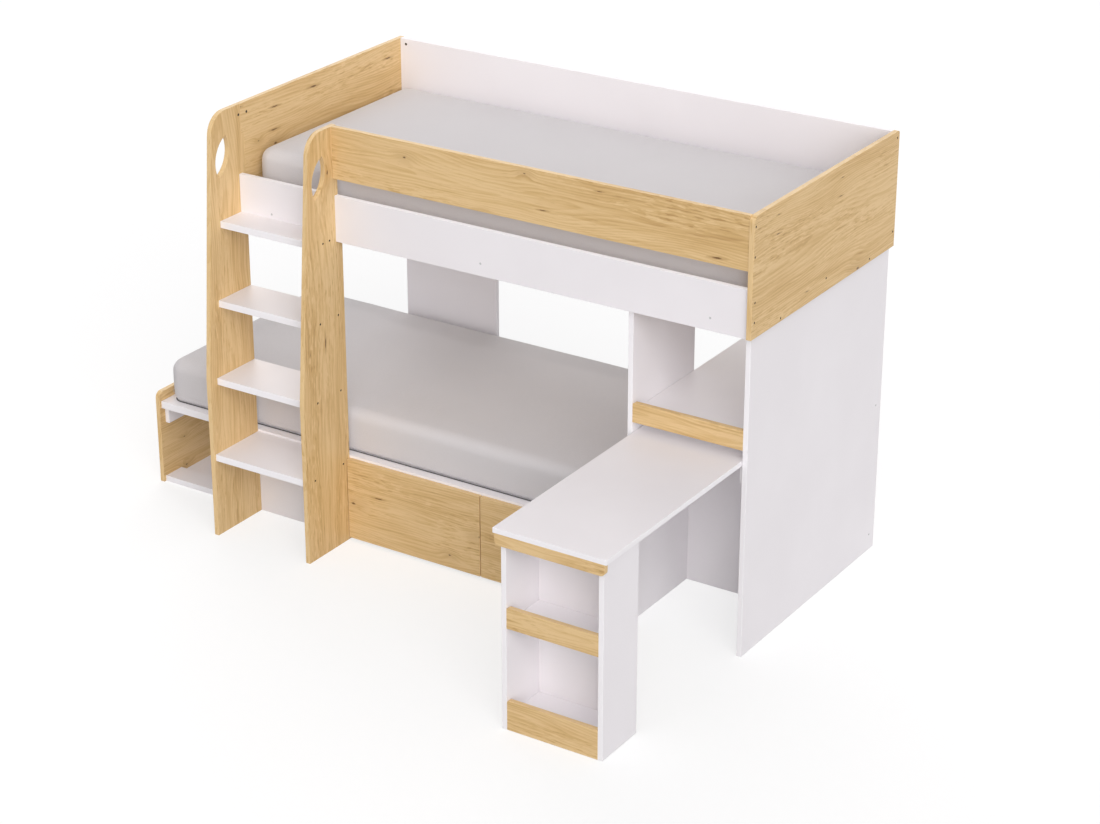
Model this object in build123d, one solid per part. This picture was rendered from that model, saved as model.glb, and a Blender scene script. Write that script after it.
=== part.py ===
from build123d import *
import os

os.makedirs("parts", exist_ok=True)

# Bunk bed with a ladder, two bed drawers and a desk that rolls out of its end, in millimetres.
# X runs along the bed to the right, Y from its front to its back, and Z up from the floor.
# Places are worked out from the right side panel: X is 0 on its outer face, Y is 0 on its
# front edge. The finished pieces are then moved so that the origin is under the middle of
# the whole bed, with the desk pulled out.

# Boards
board = 18.0                     # thickness of every faced board
edge_ease = 1.0                  # rounding along the edges of the boards

# Mattresses
mattress_length = 2000.0
mattress_width = 900.0
mattress_height = 168.0
mattress_top_round = 42.0
mattress_bottom_round = 14.0
mattress_corner = 55.0           # corner radius seen from above
mattress_crown = 6.0             # how far the middle of the top stands above its long edges
mattress_draw_in = 5.0           # how far each side pulls in between its corners
mattress_front_gap = 47.0        # between the side rail and the upper mattress
mattress_back_gap = 4.0
upper_end_gap = 11.0             # between each end of the upper mattress and its end panel
lower_left_gap = 9.5             # between the lower mattress and the lower left end panel

# Heights
support_height = 1172.0          # top of the boards that the upper bed stands on
end_panel_drop = 20.0            # lower edges of its end panels below that
deck_underside = 300.0
lower_panel_height = 365.0

# Depths and setbacks
base_setback = 10.0              # front of the lower bed's base behind the side panel's edge
end_panel_rear_step = 2.0        # upper end panels stop short of the side panel's rear edge
back_panel_inset = 6.0           # upper back panel in from the rear edges of the end panels
rail_overhang = 25.0             # side rail's face in front of the side panel's edge
guard_proud = 8.0                # guard rail's face in front of the side rail's
end_panel_proud = 3.0            # right end panel's edge in front of the guard rail's face

# Upper bed
side_rail_height = 167.0
side_rail_drop = 23.0            # side rail's lower edge below the support height
guard_gap = 64.0                 # between the side rail and the guard rail over it
guard_height = 185.0
right_end_front_round = 25.0
right_end_back_round = 10.0
end_jog = 14.0                   # left end panel's upper front corner steps forward this far
end_jog_height = 110.0           # height of that step
bearer_width = 20.0
bearer_height = 36.0
slat_thickness = 22.0
slat_width = 70.0
slat_count = 13
slat_end_gap = 2.0
slat_edge_margin = 30.0          # from the end panels to the first and last slat

# Ladder
ladder_width = 396.0             # between the stiles
stile_foot_depth = 249.5
stile_top_depth = 169.7
stile_straight_height = 610.0    # the front edge starts to lean back here
stile_top_round = 80.0
step_count = 4
step_thickness = 25.0
first_step_top = 320.0
last_step_rise = 5.0             # top step's tread above the support height
first_step_depth = 242.0
step_depth_loss = 30.7           # each step is this much shallower than the one below
handhold_length = 151.0
handhold_width = 67.0
handhold_tilt = 18.2             # degrees, upper end leaning to the back
handhold_drop = 161.0            # its centre below the stile's top
handhold_inset = 122.0           # its centre in front of the stile's back edge
handhold_tip_round = 3.0

# Lower bed
niche_width = 439.0
left_bay_width = 563.0           # bay of the left drawer
deck_board_thickness = 28.0
deck_board_width = 105.0
deck_board_count = 8
deck_cleat_height = 64.0
deck_cleat_width = 18.0
lower_corner_round = 25.0
niche_sheet = 4.0                # thin sheet on the floor of the niche
niche_rail_depth = 91.0

# Tower at the right end
tower_width = 414.0              # between the tower panel and the side panel
tower_panel_depth = 404.0
bay_back_gap = 15.0              # between the bay back panel and the desk top that passes over it
tower_rear_inset = 28.0
shelf_gap = 59.0                 # between the desk top and the shelf over it
shelf_lip_height = 70.0
shelf_lip_drop = 22.0            # lip's lower edge below the shelf's underside
shelf_lip_round = 9.0
runner_width = 18.0
runner_height = 69.5
runner_play = 0.5                # between the desk top and the runners it slides on
runner_leg_play = 3.0            # between the runners and the leg that rolls in between them

# Desk
desk_height = 713.0
desk_depth = 971.0
desk_reach = 826.0               # how far the desk stands out in front of the side panel
desk_side_play = 2.0
desk_lip_height = 40.0
desk_lip_inset = 6.0
desk_lip_round = 16.0
leg_depth = 203.0
leg_floor_gap = 2.0
leg_shelf_top = 382.0
leg_lip_height = 73.0
leg_lip_round = 8.0
leg_base_lip_bottom = 1.0
leg_base_lip_top = 107.0

# Drawers
drawer_front_bottom = 10.0
drawer_front_overlap = 20.0      # drawer fronts above the deck's underside
drawer_front_play = 1.0          # between a drawer front and the base behind it
drawer_side_gap = 2.0            # beside each edge of a drawer front
drawer_box_play = 8.0            # between a drawer box and the boards beside it
drawer_box_depth = 700.0
drawer_top_play = 22.0           # between a drawer box and the cleats over it
drawer_box_board = 12.0
drawer_bottom_board = 8.0

# Castors
desk_wheel_radius = 13.0
drawer_wheel_radius = 18.0
wheel_width = 14.0
wheel_round = 2.5
castor_headroom = 4.0            # between a wheel and the plate above it
castor_plate = 2.0
castor_cheek = 2.0
castor_cheek_play = 0.5          # beside a wheel
castor_cheek_depth = 16.0
castor_plate_depth = 34.0
axle_radius = 3.0
axle_play = 0.05                 # radial running clearance
desk_castor_inset = 32.0         # axles from the inner faces of the leg's boards
drawer_castor_inset = 60.0

# Screws and connecting bolts
screw_radius = 2.5
screw_head_radius = 4.2
screw_head_height = 3.0
screw_recess = 0.6               # head below the board's face
screw_length = 48.0
short_screw_length = 31.0
screw_tip = 4.0
screw_tip_radius = 0.6
screw_clearance = 0.2            # around a shank in the first board
bolt_radius = 3.0
bolt_tail = 7.0                  # bolt past the middle of its cross dowel
cross_dowel_radius = 5.0
cross_dowel_length = 14.0
guard_screw_drops = (36.0, 136.5)
rail_screw_drops = (42.0, 109.0)
back_screw_edge = 23.0
back_screw_low = 36.0
side_screw_drop = 9.0
side_screw_front = 159.0         # from the side panel's front edge
side_screw_rear = 185.0          # from its rear edge
bearer_screw_height = 26.0       # above the bearers' underside
rear_screw_edge = 60.0
rail_face_screw_edge = 136.0     # from the ends of the side rail
rail_face_screw_height = 44.0    # above the side rail's lower edge
step_screw_front = 41.0          # behind a step's front edge
step_screw_rear = 37.0           # in front of a step's back edge
upper_bolt_drop = 37.0           # below the stile's top
lower_bolt_rise = 18.0           # above the support height
upper_bolt_gap = 10.0            # front cross dowel from the stile's stepped back edge
lower_bolt_gap = 22.0            # front cross dowel from the stile's plain back edge
bolt_reach = 44.0                # between the two cross dowels of a stile bolt
back_bolt_drop = 20.0            # below the upper edge of the back panel
back_bolt_rise = 36.0            # above its lower edge
back_bolt_inset = 25.0           # cross dowel from the left end panel's inner face

# Places along the bed, towards the left
side_inner_x = -board
tower_right_x = side_inner_x - tower_width
tower_left_x = tower_right_x - board
upper_left_x = -mattress_length - 2 * upper_end_gap
right_stile_x = upper_left_x + ladder_width
bay_left_x = right_stile_x + board
niche_right_x = upper_left_x - board
lower_left_x = niche_right_x - niche_width
bed_left_x = lower_left_x - board
centre_divider_x = bay_left_x + left_bay_width
bed_right_x = board

# Places from front to back
side_rail_y = -rail_overhang
side_rail_back_y = side_rail_y + board
guard_y = side_rail_y - guard_proud
right_end_y = guard_y - end_panel_proud
base_y = base_setback
upper_back_y = side_rail_back_y + mattress_front_gap + mattress_width + mattress_back_gap
end_back_y = upper_back_y + board + back_panel_inset
side_panel_depth = end_back_y + end_panel_rear_step
post_y = side_panel_depth - board
lower_back_y = post_y - board
rear_bearer_y = upper_back_y - bearer_width
middle_bearer_y = (side_rail_back_y + rear_bearer_y) / 2
tower_rear_y = side_panel_depth - tower_rear_inset - board
bay_back_y = tower_panel_depth - board
jog_y = base_y - end_jog
desk_front_y = -desk_reach

# Heights worked out
side_rail_z = support_height - side_rail_drop
side_rail_top = side_rail_z + side_rail_height
guard_z = side_rail_top + guard_gap
bed_height = guard_z + guard_height
end_panel_z = support_height - end_panel_drop
jog_z = bed_height - end_jog_height
slat_z = support_height + bearer_height
upper_mattress_z = slat_z + slat_thickness
step_pitch = (support_height + last_step_rise - first_step_top) / (step_count - 1)
lower_mattress_z = deck_underside + deck_board_thickness
deck_cleat_z = deck_underside - deck_cleat_height
desk_underside = desk_height - board
runner_top = desk_underside - runner_play
runner_z = runner_top - runner_height
shelf_underside = desk_height + shelf_gap
leg_shelf_z = leg_shelf_top - board
castor_lift = castor_headroom + castor_plate
leg_floor_z = 2 * desk_wheel_radius + castor_lift
drawer_bottom_z = 2 * drawer_wheel_radius + castor_lift
drawer_box_top = deck_cleat_z - drawer_top_play
drawer_front_top = deck_underside + drawer_front_overlap

pieces = {}


def block(x0, x1, y0, y1, z0, z1):
    """A plain box between two opposite corners."""
    box = Box(x1 - x0, y1 - y0, z1 - z0, align=(Align.MIN, Align.MIN, Align.MIN))
    return Pos(x0, y0, z0) * box


def plank(x0, x1, y0, y1, z0, z1):
    """A board between two opposite corners, with eased edges."""
    body = block(x0, x1, y0, y1, z0, z1)
    return fillet(body.edges(), edge_ease)


def outline(points, rounds):
    """A flat face through the points; rounds gives a radius for some of them."""
    face = make_face(Polyline(*points, close=True))
    for place, radius in rounds:
        corner = face.vertices().sort_by_distance(Vector(place[0], place[1], 0))[0]
        face = fillet(corner, radius)
    return face


def sawn_across_x(x0, points, rounds, cut=None):
    """A board standing across X, sawn to an outline of (Y, Z) points, less a cut face."""
    face = outline(points, rounds)
    if cut is not None:
        face = face - cut
    body = extrude(Plane.YZ.offset(x0) * face, amount=board)
    return fillet(body.edges(), edge_ease)


def sawn_across_y(y0, points, rounds):
    """A board standing across Y, sawn to an outline of (X, Z) points."""
    body = extrude(Plane.XZ.offset(-y0) * outline(points, rounds), amount=-board)
    return fillet(body.edges(), edge_ease)


def rod(start, direction, length, radius):
    """A round bar from a start point along a direction."""
    plane = Plane(origin=start, z_dir=direction)
    return plane * Cylinder(radius, length, align=(Align.CENTER, Align.CENTER, Align.MIN))


def along(start, direction, distance):
    """The point that lies a distance from the start along a direction."""
    return tuple(s + d * distance for s, d in zip(start, direction))


def cut_from(names, tool):
    """Take a tool's shape out of every solid of the named pieces."""
    for name in names:
        pieces[name] = [solid - tool for solid in pieces[name]]


def drive_screw(face_point, direction, length, first, second):
    """A countersunk screw from a board's face through the first piece into the second."""
    head_top = along(face_point, direction, screw_recess)
    shank_start = along(head_top, direction, screw_head_height)
    shank_length = length - screw_recess - screw_head_height - screw_tip
    tip_start = along(shank_start, direction, shank_length)
    through = board - screw_recess - screw_head_height
    cut_from([first], rod(face_point, direction, screw_recess + screw_head_height, screw_head_radius))
    cut_from([first], rod(shank_start, direction, through, screw_radius + screw_clearance))
    tip = Plane(origin=tip_start, z_dir=direction) * Cone(
        screw_radius, screw_tip_radius, screw_tip, align=(Align.CENTER, Align.CENTER, Align.MIN)
    )
    shank = rod(shank_start, direction, shank_length, screw_radius)
    cut_from([second], shank + tip)
    head = rod(head_top, direction, screw_head_height, screw_head_radius)
    pieces["board_screws"].append(head + shank + tip)


def mattress(x0, y0, z0):
    """A foam mattress: crowned on top, drawn in along its sides, soft along its edges."""
    half_length = mattress_length / 2
    half_width = mattress_width / 2
    corners = [
        (-half_length, -half_width),
        (half_length, -half_width),
        (half_length, half_width),
        (-half_length, half_width),
    ]
    middles = [
        (0, -half_width + mattress_draw_in),
        (half_length - mattress_draw_in, 0),
        (0, half_width - mattress_draw_in),
        (-half_length + mattress_draw_in, 0),
    ]
    sides = [
        ThreePointArc(corners[i], middles[i], corners[(i + 1) % len(corners)])
        for i in range(len(corners))
    ]
    face = make_face(sides)
    face = fillet(face.vertices(), mattress_corner)
    body = extrude(face, amount=mattress_height)
    crown_radius = (half_width ** 2 + mattress_crown ** 2) / (2 * mattress_crown)
    crown = Pos(0, 0, mattress_height - crown_radius) * Rot(0, 90, 0) * Cylinder(
        crown_radius, 2 * mattress_length
    )
    body = body & crown
    top = body.faces().sort_by(Axis.Z)[-1]
    body = fillet(top.edges(), mattress_top_round)
    bottom = body.faces().sort_by(Axis.Z)[0]
    body = fillet(bottom.edges(), mattress_bottom_round)
    return Pos(x0 + half_length, y0 + half_width, z0) * body


def wheel(x_middle, y, radius):
    """A roller whose axle line runs along X."""
    start = (x_middle - wheel_width / 2, y, radius)
    body = rod(start, (1, 0, 0), wheel_width, radius)
    body = fillet(body.edges(), wheel_round)
    return body - rod(start, (1, 0, 0), wheel_width, axle_radius + axle_play)


def castor_bracket(x_middle, y, radius):
    """A fixed castor's plate with its two cheeks and the pin between them."""
    half_gap = wheel_width / 2 + castor_cheek_play
    half_width = half_gap + castor_cheek
    top = 2 * radius + castor_lift
    cheek_z = radius - castor_cheek_depth / 2
    plate = block(
        x_middle - half_width,
        x_middle + half_width,
        y - castor_plate_depth / 2,
        y + castor_plate_depth / 2,
        top - castor_plate,
        top,
    )
    body = plate
    for side in (-1, 1):
        outer = x_middle + side * half_width
        inner = x_middle + side * half_gap
        cheek = block(
            min(outer, inner),
            max(outer, inner),
            y - castor_cheek_depth / 2,
            y + castor_cheek_depth / 2,
            radius,
            top - castor_plate,
        )
        end = rod((min(outer, inner), y, radius), (1, 0, 0), castor_cheek, castor_cheek_depth / 2)
        body = body + cheek + end
    pin = rod((x_middle - half_gap, y, radius), (1, 0, 0), 2 * half_gap, axle_radius)
    return body + pin


def make_lower_bed():
    """The low bed: its ends, back, dividers, niche, deck and mattress."""
    pieces["lower_left_end_panel"] = [
        sawn_across_x(
            bed_left_x,
            [(0, 0), (post_y, 0), (post_y, lower_panel_height), (0, lower_panel_height)],
            [
                ((0, lower_panel_height), lower_corner_round),
                ((post_y, lower_panel_height), lower_corner_round),
            ],
        )
    ]
    pieces["lower_right_end_panel"] = [
        plank(tower_left_x, tower_right_x, tower_panel_depth, post_y, 0, lower_panel_height)
    ]
    pieces["lower_back_panel"] = [
        plank(lower_left_x, tower_left_x, lower_back_y, post_y, 0, lower_panel_height)
    ]
    pieces["niche_bottom"] = [
        block(lower_left_x, niche_right_x, base_y, lower_back_y, 0, niche_sheet)
    ]
    pieces["niche_front_rail"] = [
        plank(
            lower_left_x,
            niche_right_x,
            base_y,
            base_y + niche_rail_depth,
            niche_sheet,
            niche_sheet + board,
        )
    ]
    pieces["ladder_bay_dividers"] = [
        plank(x, x + board, base_y, lower_back_y, 0, deck_underside)
        for x in (niche_right_x, right_stile_x)
    ]
    pieces["centre_divider"] = [
        plank(centre_divider_x, centre_divider_x + board, base_y, lower_back_y, 0, deck_underside)
    ]
    pieces["ladder_bay_front_panel"] = [
        plank(upper_left_x, right_stile_x, base_y, base_y + board, 0, deck_underside)
    ]
    pieces["deck_cleats"] = [
        plank(
            x,
            x + deck_cleat_width,
            base_y + board,
            lower_back_y,
            deck_cleat_z,
            deck_underside,
        )
        for x in (lower_left_x, tower_left_x - deck_cleat_width)
    ]
    deck_depth = lower_back_y - base_y
    pitch = (deck_depth - deck_board_width) / (deck_board_count - 1)
    pieces["deck_boards"] = [
        plank(
            lower_left_x,
            tower_left_x,
            base_y + i * pitch,
            base_y + i * pitch + deck_board_width,
            deck_underside,
            lower_mattress_z,
        )
        for i in range(deck_board_count)
    ]
    pieces["lower_mattress"] = [
        mattress(
            lower_left_x + lower_left_gap,
            lower_back_y - mattress_back_gap - mattress_width,
            lower_mattress_z,
        )
    ]


def make_tower():
    """The tower that carries the right end of the upper bed and takes in the desk."""
    pieces["right_side_panel"] = [plank(side_inner_x, 0, 0, side_panel_depth, 0, support_height)]
    pieces["tower_panel"] = [
        plank(tower_left_x, tower_right_x, 0, tower_panel_depth, 0, support_height)
    ]
    pieces["tower_rear_panel"] = [
        plank(tower_right_x, side_inner_x, tower_rear_y, tower_rear_y + board, 0, runner_z)
    ]
    notch_left = tower_right_x + runner_width
    notch_right = side_inner_x - runner_width
    bay_back_top = desk_underside - bay_back_gap
    pieces["bay_back_panel"] = [
        sawn_across_y(
            bay_back_y,
            [
                (tower_right_x, 0),
                (side_inner_x, 0),
                (side_inner_x, runner_z),
                (notch_right, runner_z),
                (notch_right, bay_back_top),
                (notch_left, bay_back_top),
                (notch_left, runner_z),
                (tower_right_x, runner_z),
            ],
            [],
        )
    ]
    pieces["desk_runners"] = [
        plank(x, x + runner_width, board, tower_rear_y + board, runner_z, runner_top)
        for x in (tower_right_x, side_inner_x - runner_width)
    ]
    pieces["tower_shelf"] = [
        plank(
            tower_right_x,
            side_inner_x,
            board,
            tower_rear_y + board,
            shelf_underside,
            shelf_underside + board,
        )
    ]
    lip_z = shelf_underside - shelf_lip_drop
    lip_top = lip_z + shelf_lip_height
    pieces["tower_shelf_lip"] = [
        sawn_across_y(
            0,
            [
                (tower_right_x, lip_z),
                (side_inner_x, lip_z),
                (side_inner_x, lip_top),
                (tower_right_x, lip_top),
            ],
            [((side_inner_x, lip_top), shelf_lip_round), ((tower_right_x, lip_top), shelf_lip_round)],
        )
    ]


def make_upper_bed():
    """The upper bed: end panels, back, rails, slats and mattress."""
    pieces["rear_post_board"] = [
        plank(upper_left_x, bay_left_x, post_y, side_panel_depth, 0, support_height)
    ]
    pieces["left_end_panel"] = [
        sawn_across_x(
            niche_right_x,
            [
                (base_y, end_panel_z),
                (end_back_y, end_panel_z),
                (end_back_y, bed_height),
                (jog_y, bed_height),
                (jog_y, jog_z),
                (base_y, jog_z),
            ],
            [],
        )
    ]
    pieces["right_end_panel"] = [
        sawn_across_x(
            0,
            [
                (right_end_y, end_panel_z),
                (end_back_y, end_panel_z),
                (end_back_y, bed_height),
                (right_end_y, bed_height),
            ],
            [
                ((right_end_y, bed_height), right_end_front_round),
                ((end_back_y, bed_height), right_end_back_round),
            ],
        )
    ]
    pieces["upper_back_panel"] = [
        plank(upper_left_x, 0, upper_back_y, upper_back_y + board, support_height, bed_height)
    ]
    pieces["upper_side_rail"] = [
        plank(upper_left_x, 0, side_rail_y, side_rail_back_y, side_rail_z, side_rail_top)
    ]
    pieces["guard_rail"] = [plank(bay_left_x, 0, guard_y, guard_y + board, guard_z, bed_height)]
    pieces["slat_bearers"] = [
        plank(upper_left_x, 0, y, y + bearer_width, support_height, slat_z)
        for y in (side_rail_back_y, middle_bearer_y, rear_bearer_y)
    ]
    first_slat = upper_left_x + slat_edge_margin
    last_slat = -slat_edge_margin - slat_width
    pitch = (last_slat - first_slat) / (slat_count - 1)
    pieces["upper_slats"] = [
        plank(
            first_slat + i * pitch,
            first_slat + i * pitch + slat_width,
            side_rail_back_y + slat_end_gap,
            upper_back_y - slat_end_gap,
            slat_z,
            upper_mattress_z,
        )
        for i in range(slat_count)
    ]
    pieces["upper_mattress"] = [
        mattress(
            upper_left_x + upper_end_gap,
            upper_back_y - mattress_back_gap - mattress_width,
            upper_mattress_z,
        )
    ]


def stile_outline(back):
    """A stile's outline in (Y, Z): the front edge, then the back edge points given."""
    foot_y = base_y - stile_foot_depth
    top_y = base_y - stile_top_depth
    front = [(foot_y, 0), (foot_y, stile_straight_height), (top_y, bed_height)]
    return front + back, [((top_y, bed_height), stile_top_round)]


def handhold_face():
    """The pointed oval that is cut through each stile."""
    half_length = handhold_length / 2
    half_width = handhold_width / 2
    top = (0, half_length)
    foot = (0, -half_length)
    right = ThreePointArc(foot, (half_width, 0), top)
    left = ThreePointArc(top, (-half_width, 0), foot)
    face = make_face([right, left])
    face = fillet(face.vertices(), handhold_tip_round)
    return Pos(base_y - handhold_inset, bed_height - handhold_drop) * Rot(0, 0, -handhold_tilt) * face


def step_back(level):
    """Where a step ends at the back: the top one stops at the side rail."""
    return side_rail_y if level == step_count - 1 else base_y


def step_front(level):
    """Where a step starts at the front."""
    return base_y - first_step_depth + level * step_depth_loss


def step_top(level):
    """The height of a step's tread."""
    return first_step_top + level * step_pitch


def make_ladder():
    """Two stiles with handholds and the steps between them."""
    points, rounds = stile_outline(
        [(jog_y, bed_height), (jog_y, jog_z), (base_y, jog_z), (base_y, 0)]
    )
    pieces["ladder_left_stile"] = [
        sawn_across_x(niche_right_x, points, rounds, cut=handhold_face())
    ]
    points, rounds = stile_outline(
        [
            (side_rail_back_y, bed_height),
            (side_rail_back_y, side_rail_top),
            (side_rail_y, side_rail_top),
            (side_rail_y, side_rail_z),
            (base_y, side_rail_z),
            (base_y, 0),
        ]
    )
    pieces["ladder_right_stile"] = [
        sawn_across_x(right_stile_x, points, rounds, cut=handhold_face())
    ]
    for level in range(step_count):
        pieces[f"ladder_step_{level + 1}"] = [
            plank(
                upper_left_x,
                right_stile_x,
                step_front(level),
                step_back(level),
                step_top(level) - step_thickness,
                step_top(level),
            )
        ]


def make_desk():
    """The desk top with its lip, and the leg with its shelves, lips and castors."""
    left = tower_right_x + desk_side_play
    right = side_inner_x - desk_side_play
    pieces["desk_top"] = [
        plank(left, right, desk_front_y, desk_front_y + desk_depth, desk_underside, desk_height)
    ]
    lip_left = left + desk_lip_inset
    lip_right = right - desk_lip_inset
    lip_z = desk_underside - desk_lip_height
    pieces["desk_front_lip"] = [
        sawn_across_y(
            desk_front_y,
            [
                (lip_left, lip_z),
                (lip_right, lip_z),
                (lip_right, desk_underside),
                (lip_left, desk_underside),
            ],
            [((lip_left, lip_z), desk_lip_round), ((lip_right, lip_z), desk_lip_round)],
        )
    ]
    leg_left = tower_right_x + runner_width + runner_leg_play
    leg_right = side_inner_x - runner_width - runner_leg_play
    leg_y = desk_front_y + board
    back_y = leg_y + leg_depth
    pieces["desk_leg_sides"] = [
        plank(x, x + board, leg_y, back_y, leg_floor_gap, desk_underside)
        for x in (leg_left, leg_right - board)
    ]
    inner_left = leg_left + board
    inner_right = leg_right - board
    pieces["desk_leg_back"] = [
        plank(inner_left, inner_right, back_y - board, back_y, leg_floor_z, desk_underside)
    ]
    shelf_y = leg_y + board
    pieces["desk_leg_shelf"] = [
        plank(inner_left, inner_right, shelf_y, back_y - board, leg_shelf_z, leg_shelf_top)
    ]
    pieces["desk_leg_floor"] = [
        plank(inner_left, inner_right, shelf_y, back_y - board, leg_floor_z, leg_floor_z + board)
    ]
    for name, low, high in (
        ("desk_shelf_lip", leg_shelf_z, leg_shelf_z + leg_lip_height),
        ("desk_base_lip", leg_base_lip_bottom, leg_base_lip_top),
    ):
        pieces[name] = [
            sawn_across_y(
                leg_y,
                [(inner_left, low), (inner_right, low), (inner_right, high), (inner_left, high)],
                [((inner_left, high), leg_lip_round), ((inner_right, high), leg_lip_round)],
            )
        ]
    wheel_x = (inner_left + desk_castor_inset, inner_right - desk_castor_inset)
    front_y = shelf_y + desk_castor_inset
    rear_y = back_y - board - desk_castor_inset
    pieces["desk_castor_brackets"] = [
        castor_bracket(x, y, desk_wheel_radius) for y in (front_y, rear_y) for x in wheel_x
    ]
    pieces["desk_front_wheels"] = [wheel(x, front_y, desk_wheel_radius) for x in wheel_x]
    pieces["desk_rear_wheels"] = [wheel(x, rear_y, desk_wheel_radius) for x in wheel_x]


def make_drawer(name, front_left, front_right, bay_left, bay_right):
    """A bed drawer: an overlapping front, a box of thinner boards, and castors."""
    front_y = base_y - drawer_front_play
    box_back = front_y + drawer_box_depth
    pieces[f"{name}_front"] = [
        plank(
            front_left,
            front_right,
            front_y - board,
            front_y,
            drawer_front_bottom,
            drawer_front_top,
        )
    ]
    left = bay_left + drawer_box_play
    right = bay_right - drawer_box_play
    pieces[f"{name}_sides"] = [
        plank(x, x + drawer_box_board, front_y, box_back, drawer_bottom_z, drawer_box_top)
        for x in (left, right - drawer_box_board)
    ]
    inner_left = left + drawer_box_board
    inner_right = right - drawer_box_board
    pieces[f"{name}_back"] = [
        plank(
            inner_left,
            inner_right,
            box_back - drawer_box_board,
            box_back,
            drawer_bottom_z,
            drawer_box_top,
        )
    ]
    pieces[f"{name}_bottom"] = [
        plank(
            inner_left,
            inner_right,
            front_y,
            box_back - drawer_box_board,
            drawer_bottom_z,
            drawer_bottom_z + drawer_bottom_board,
        )
    ]
    wheel_x = (inner_left + drawer_castor_inset, inner_right - drawer_castor_inset)
    front_axle = front_y + drawer_castor_inset
    rear_axle = box_back - drawer_box_board - drawer_castor_inset
    pieces[f"{name}_castor_brackets"] = [
        castor_bracket(x, y, drawer_wheel_radius) for y in (front_axle, rear_axle) for x in wheel_x
    ]
    pieces[f"{name}_front_wheels"] = [wheel(x, front_axle, drawer_wheel_radius) for x in wheel_x]
    pieces[f"{name}_rear_wheels"] = [wheel(x, rear_axle, drawer_wheel_radius) for x in wheel_x]


def make_drawers():
    """The two drawers side by side, parted over the centre divider."""
    middle = centre_divider_x + board / 2
    make_drawer(
        "left_drawer",
        bay_left_x + drawer_side_gap,
        middle - drawer_side_gap,
        bay_left_x,
        centre_divider_x,
    )
    make_drawer(
        "right_drawer",
        middle + drawer_side_gap,
        tower_left_x - drawer_side_gap,
        centre_divider_x + board,
        tower_left_x,
    )


def drive_screws():
    """Every screw that holds one board to the next."""
    pieces["board_screws"] = []
    leftwards = (-1, 0, 0)
    rightwards = (1, 0, 0)
    backwards = (0, 1, 0)
    half = board / 2
    for drop in guard_screw_drops:
        place = (bed_right_x, guard_y + half, bed_height - drop)
        drive_screw(place, leftwards, screw_length, "right_end_panel", "guard_rail")
    for drop in rail_screw_drops:
        height = side_rail_top - drop
        place = (bed_right_x, side_rail_y + half, height)
        drive_screw(place, leftwards, screw_length, "right_end_panel", "upper_side_rail")
        place = (niche_right_x, side_rail_y + half, height)
        drive_screw(place, rightwards, screw_length, "ladder_left_stile", "upper_side_rail")
    for height in (bed_height - back_screw_edge, support_height + back_screw_low):
        place = (bed_right_x, upper_back_y + half, height)
        drive_screw(place, leftwards, screw_length, "right_end_panel", "upper_back_panel")
    for y in (side_screw_front, side_panel_depth - side_screw_rear):
        place = (bed_right_x, y, support_height - side_screw_drop)
        drive_screw(place, leftwards, short_screw_length, "right_end_panel", "right_side_panel")
    bearer_screw_z = support_height + bearer_screw_height
    place = (bed_right_x, middle_bearer_y + bearer_width / 2, bearer_screw_z)
    drive_screw(place, leftwards, screw_length, "right_end_panel", "slat_bearers")
    for y in (middle_bearer_y, rear_bearer_y):
        place = (niche_right_x, y + bearer_width / 2, bearer_screw_z)
        drive_screw(place, rightwards, screw_length, "left_end_panel", "slat_bearers")
    for height in (runner_z - rear_screw_edge, rear_screw_edge):
        place = (0, tower_rear_y + half, height)
        drive_screw(place, leftwards, screw_length, "right_side_panel", "tower_rear_panel")
    for x in (-rail_face_screw_edge, upper_left_x / 2, upper_left_x + rail_face_screw_edge):
        place = (x, side_rail_y, side_rail_z + rail_face_screw_height)
        drive_screw(place, backwards, short_screw_length, "upper_side_rail", "slat_bearers")
    for height in (rear_screw_edge, lower_panel_height - rear_screw_edge):
        place = (bed_left_x, lower_back_y + half, height)
        drive_screw(place, rightwards, screw_length, "lower_left_end_panel", "lower_back_panel")
    for level in range(step_count):
        height = step_top(level) - step_thickness / 2
        step = f"ladder_step_{level + 1}"
        for y in (step_front(level) + step_screw_front, step_back(level) - step_screw_rear):
            drive_screw((bay_left_x, y, height), leftwards, screw_length, "ladder_right_stile", step)
            drive_screw((niche_right_x, y, height), rightwards, screw_length, "ladder_left_stile", step)


def cross_dowel(face_point, direction, bolt_at, bolt_direction):
    """A cross dowel let into a board's face, drilled across for its bolt."""
    body = rod(face_point, direction, cross_dowel_length, cross_dowel_radius)
    drill = rod(along(bolt_at, bolt_direction, -board), bolt_direction, 2 * board, bolt_radius)
    return body, body - drill


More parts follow.
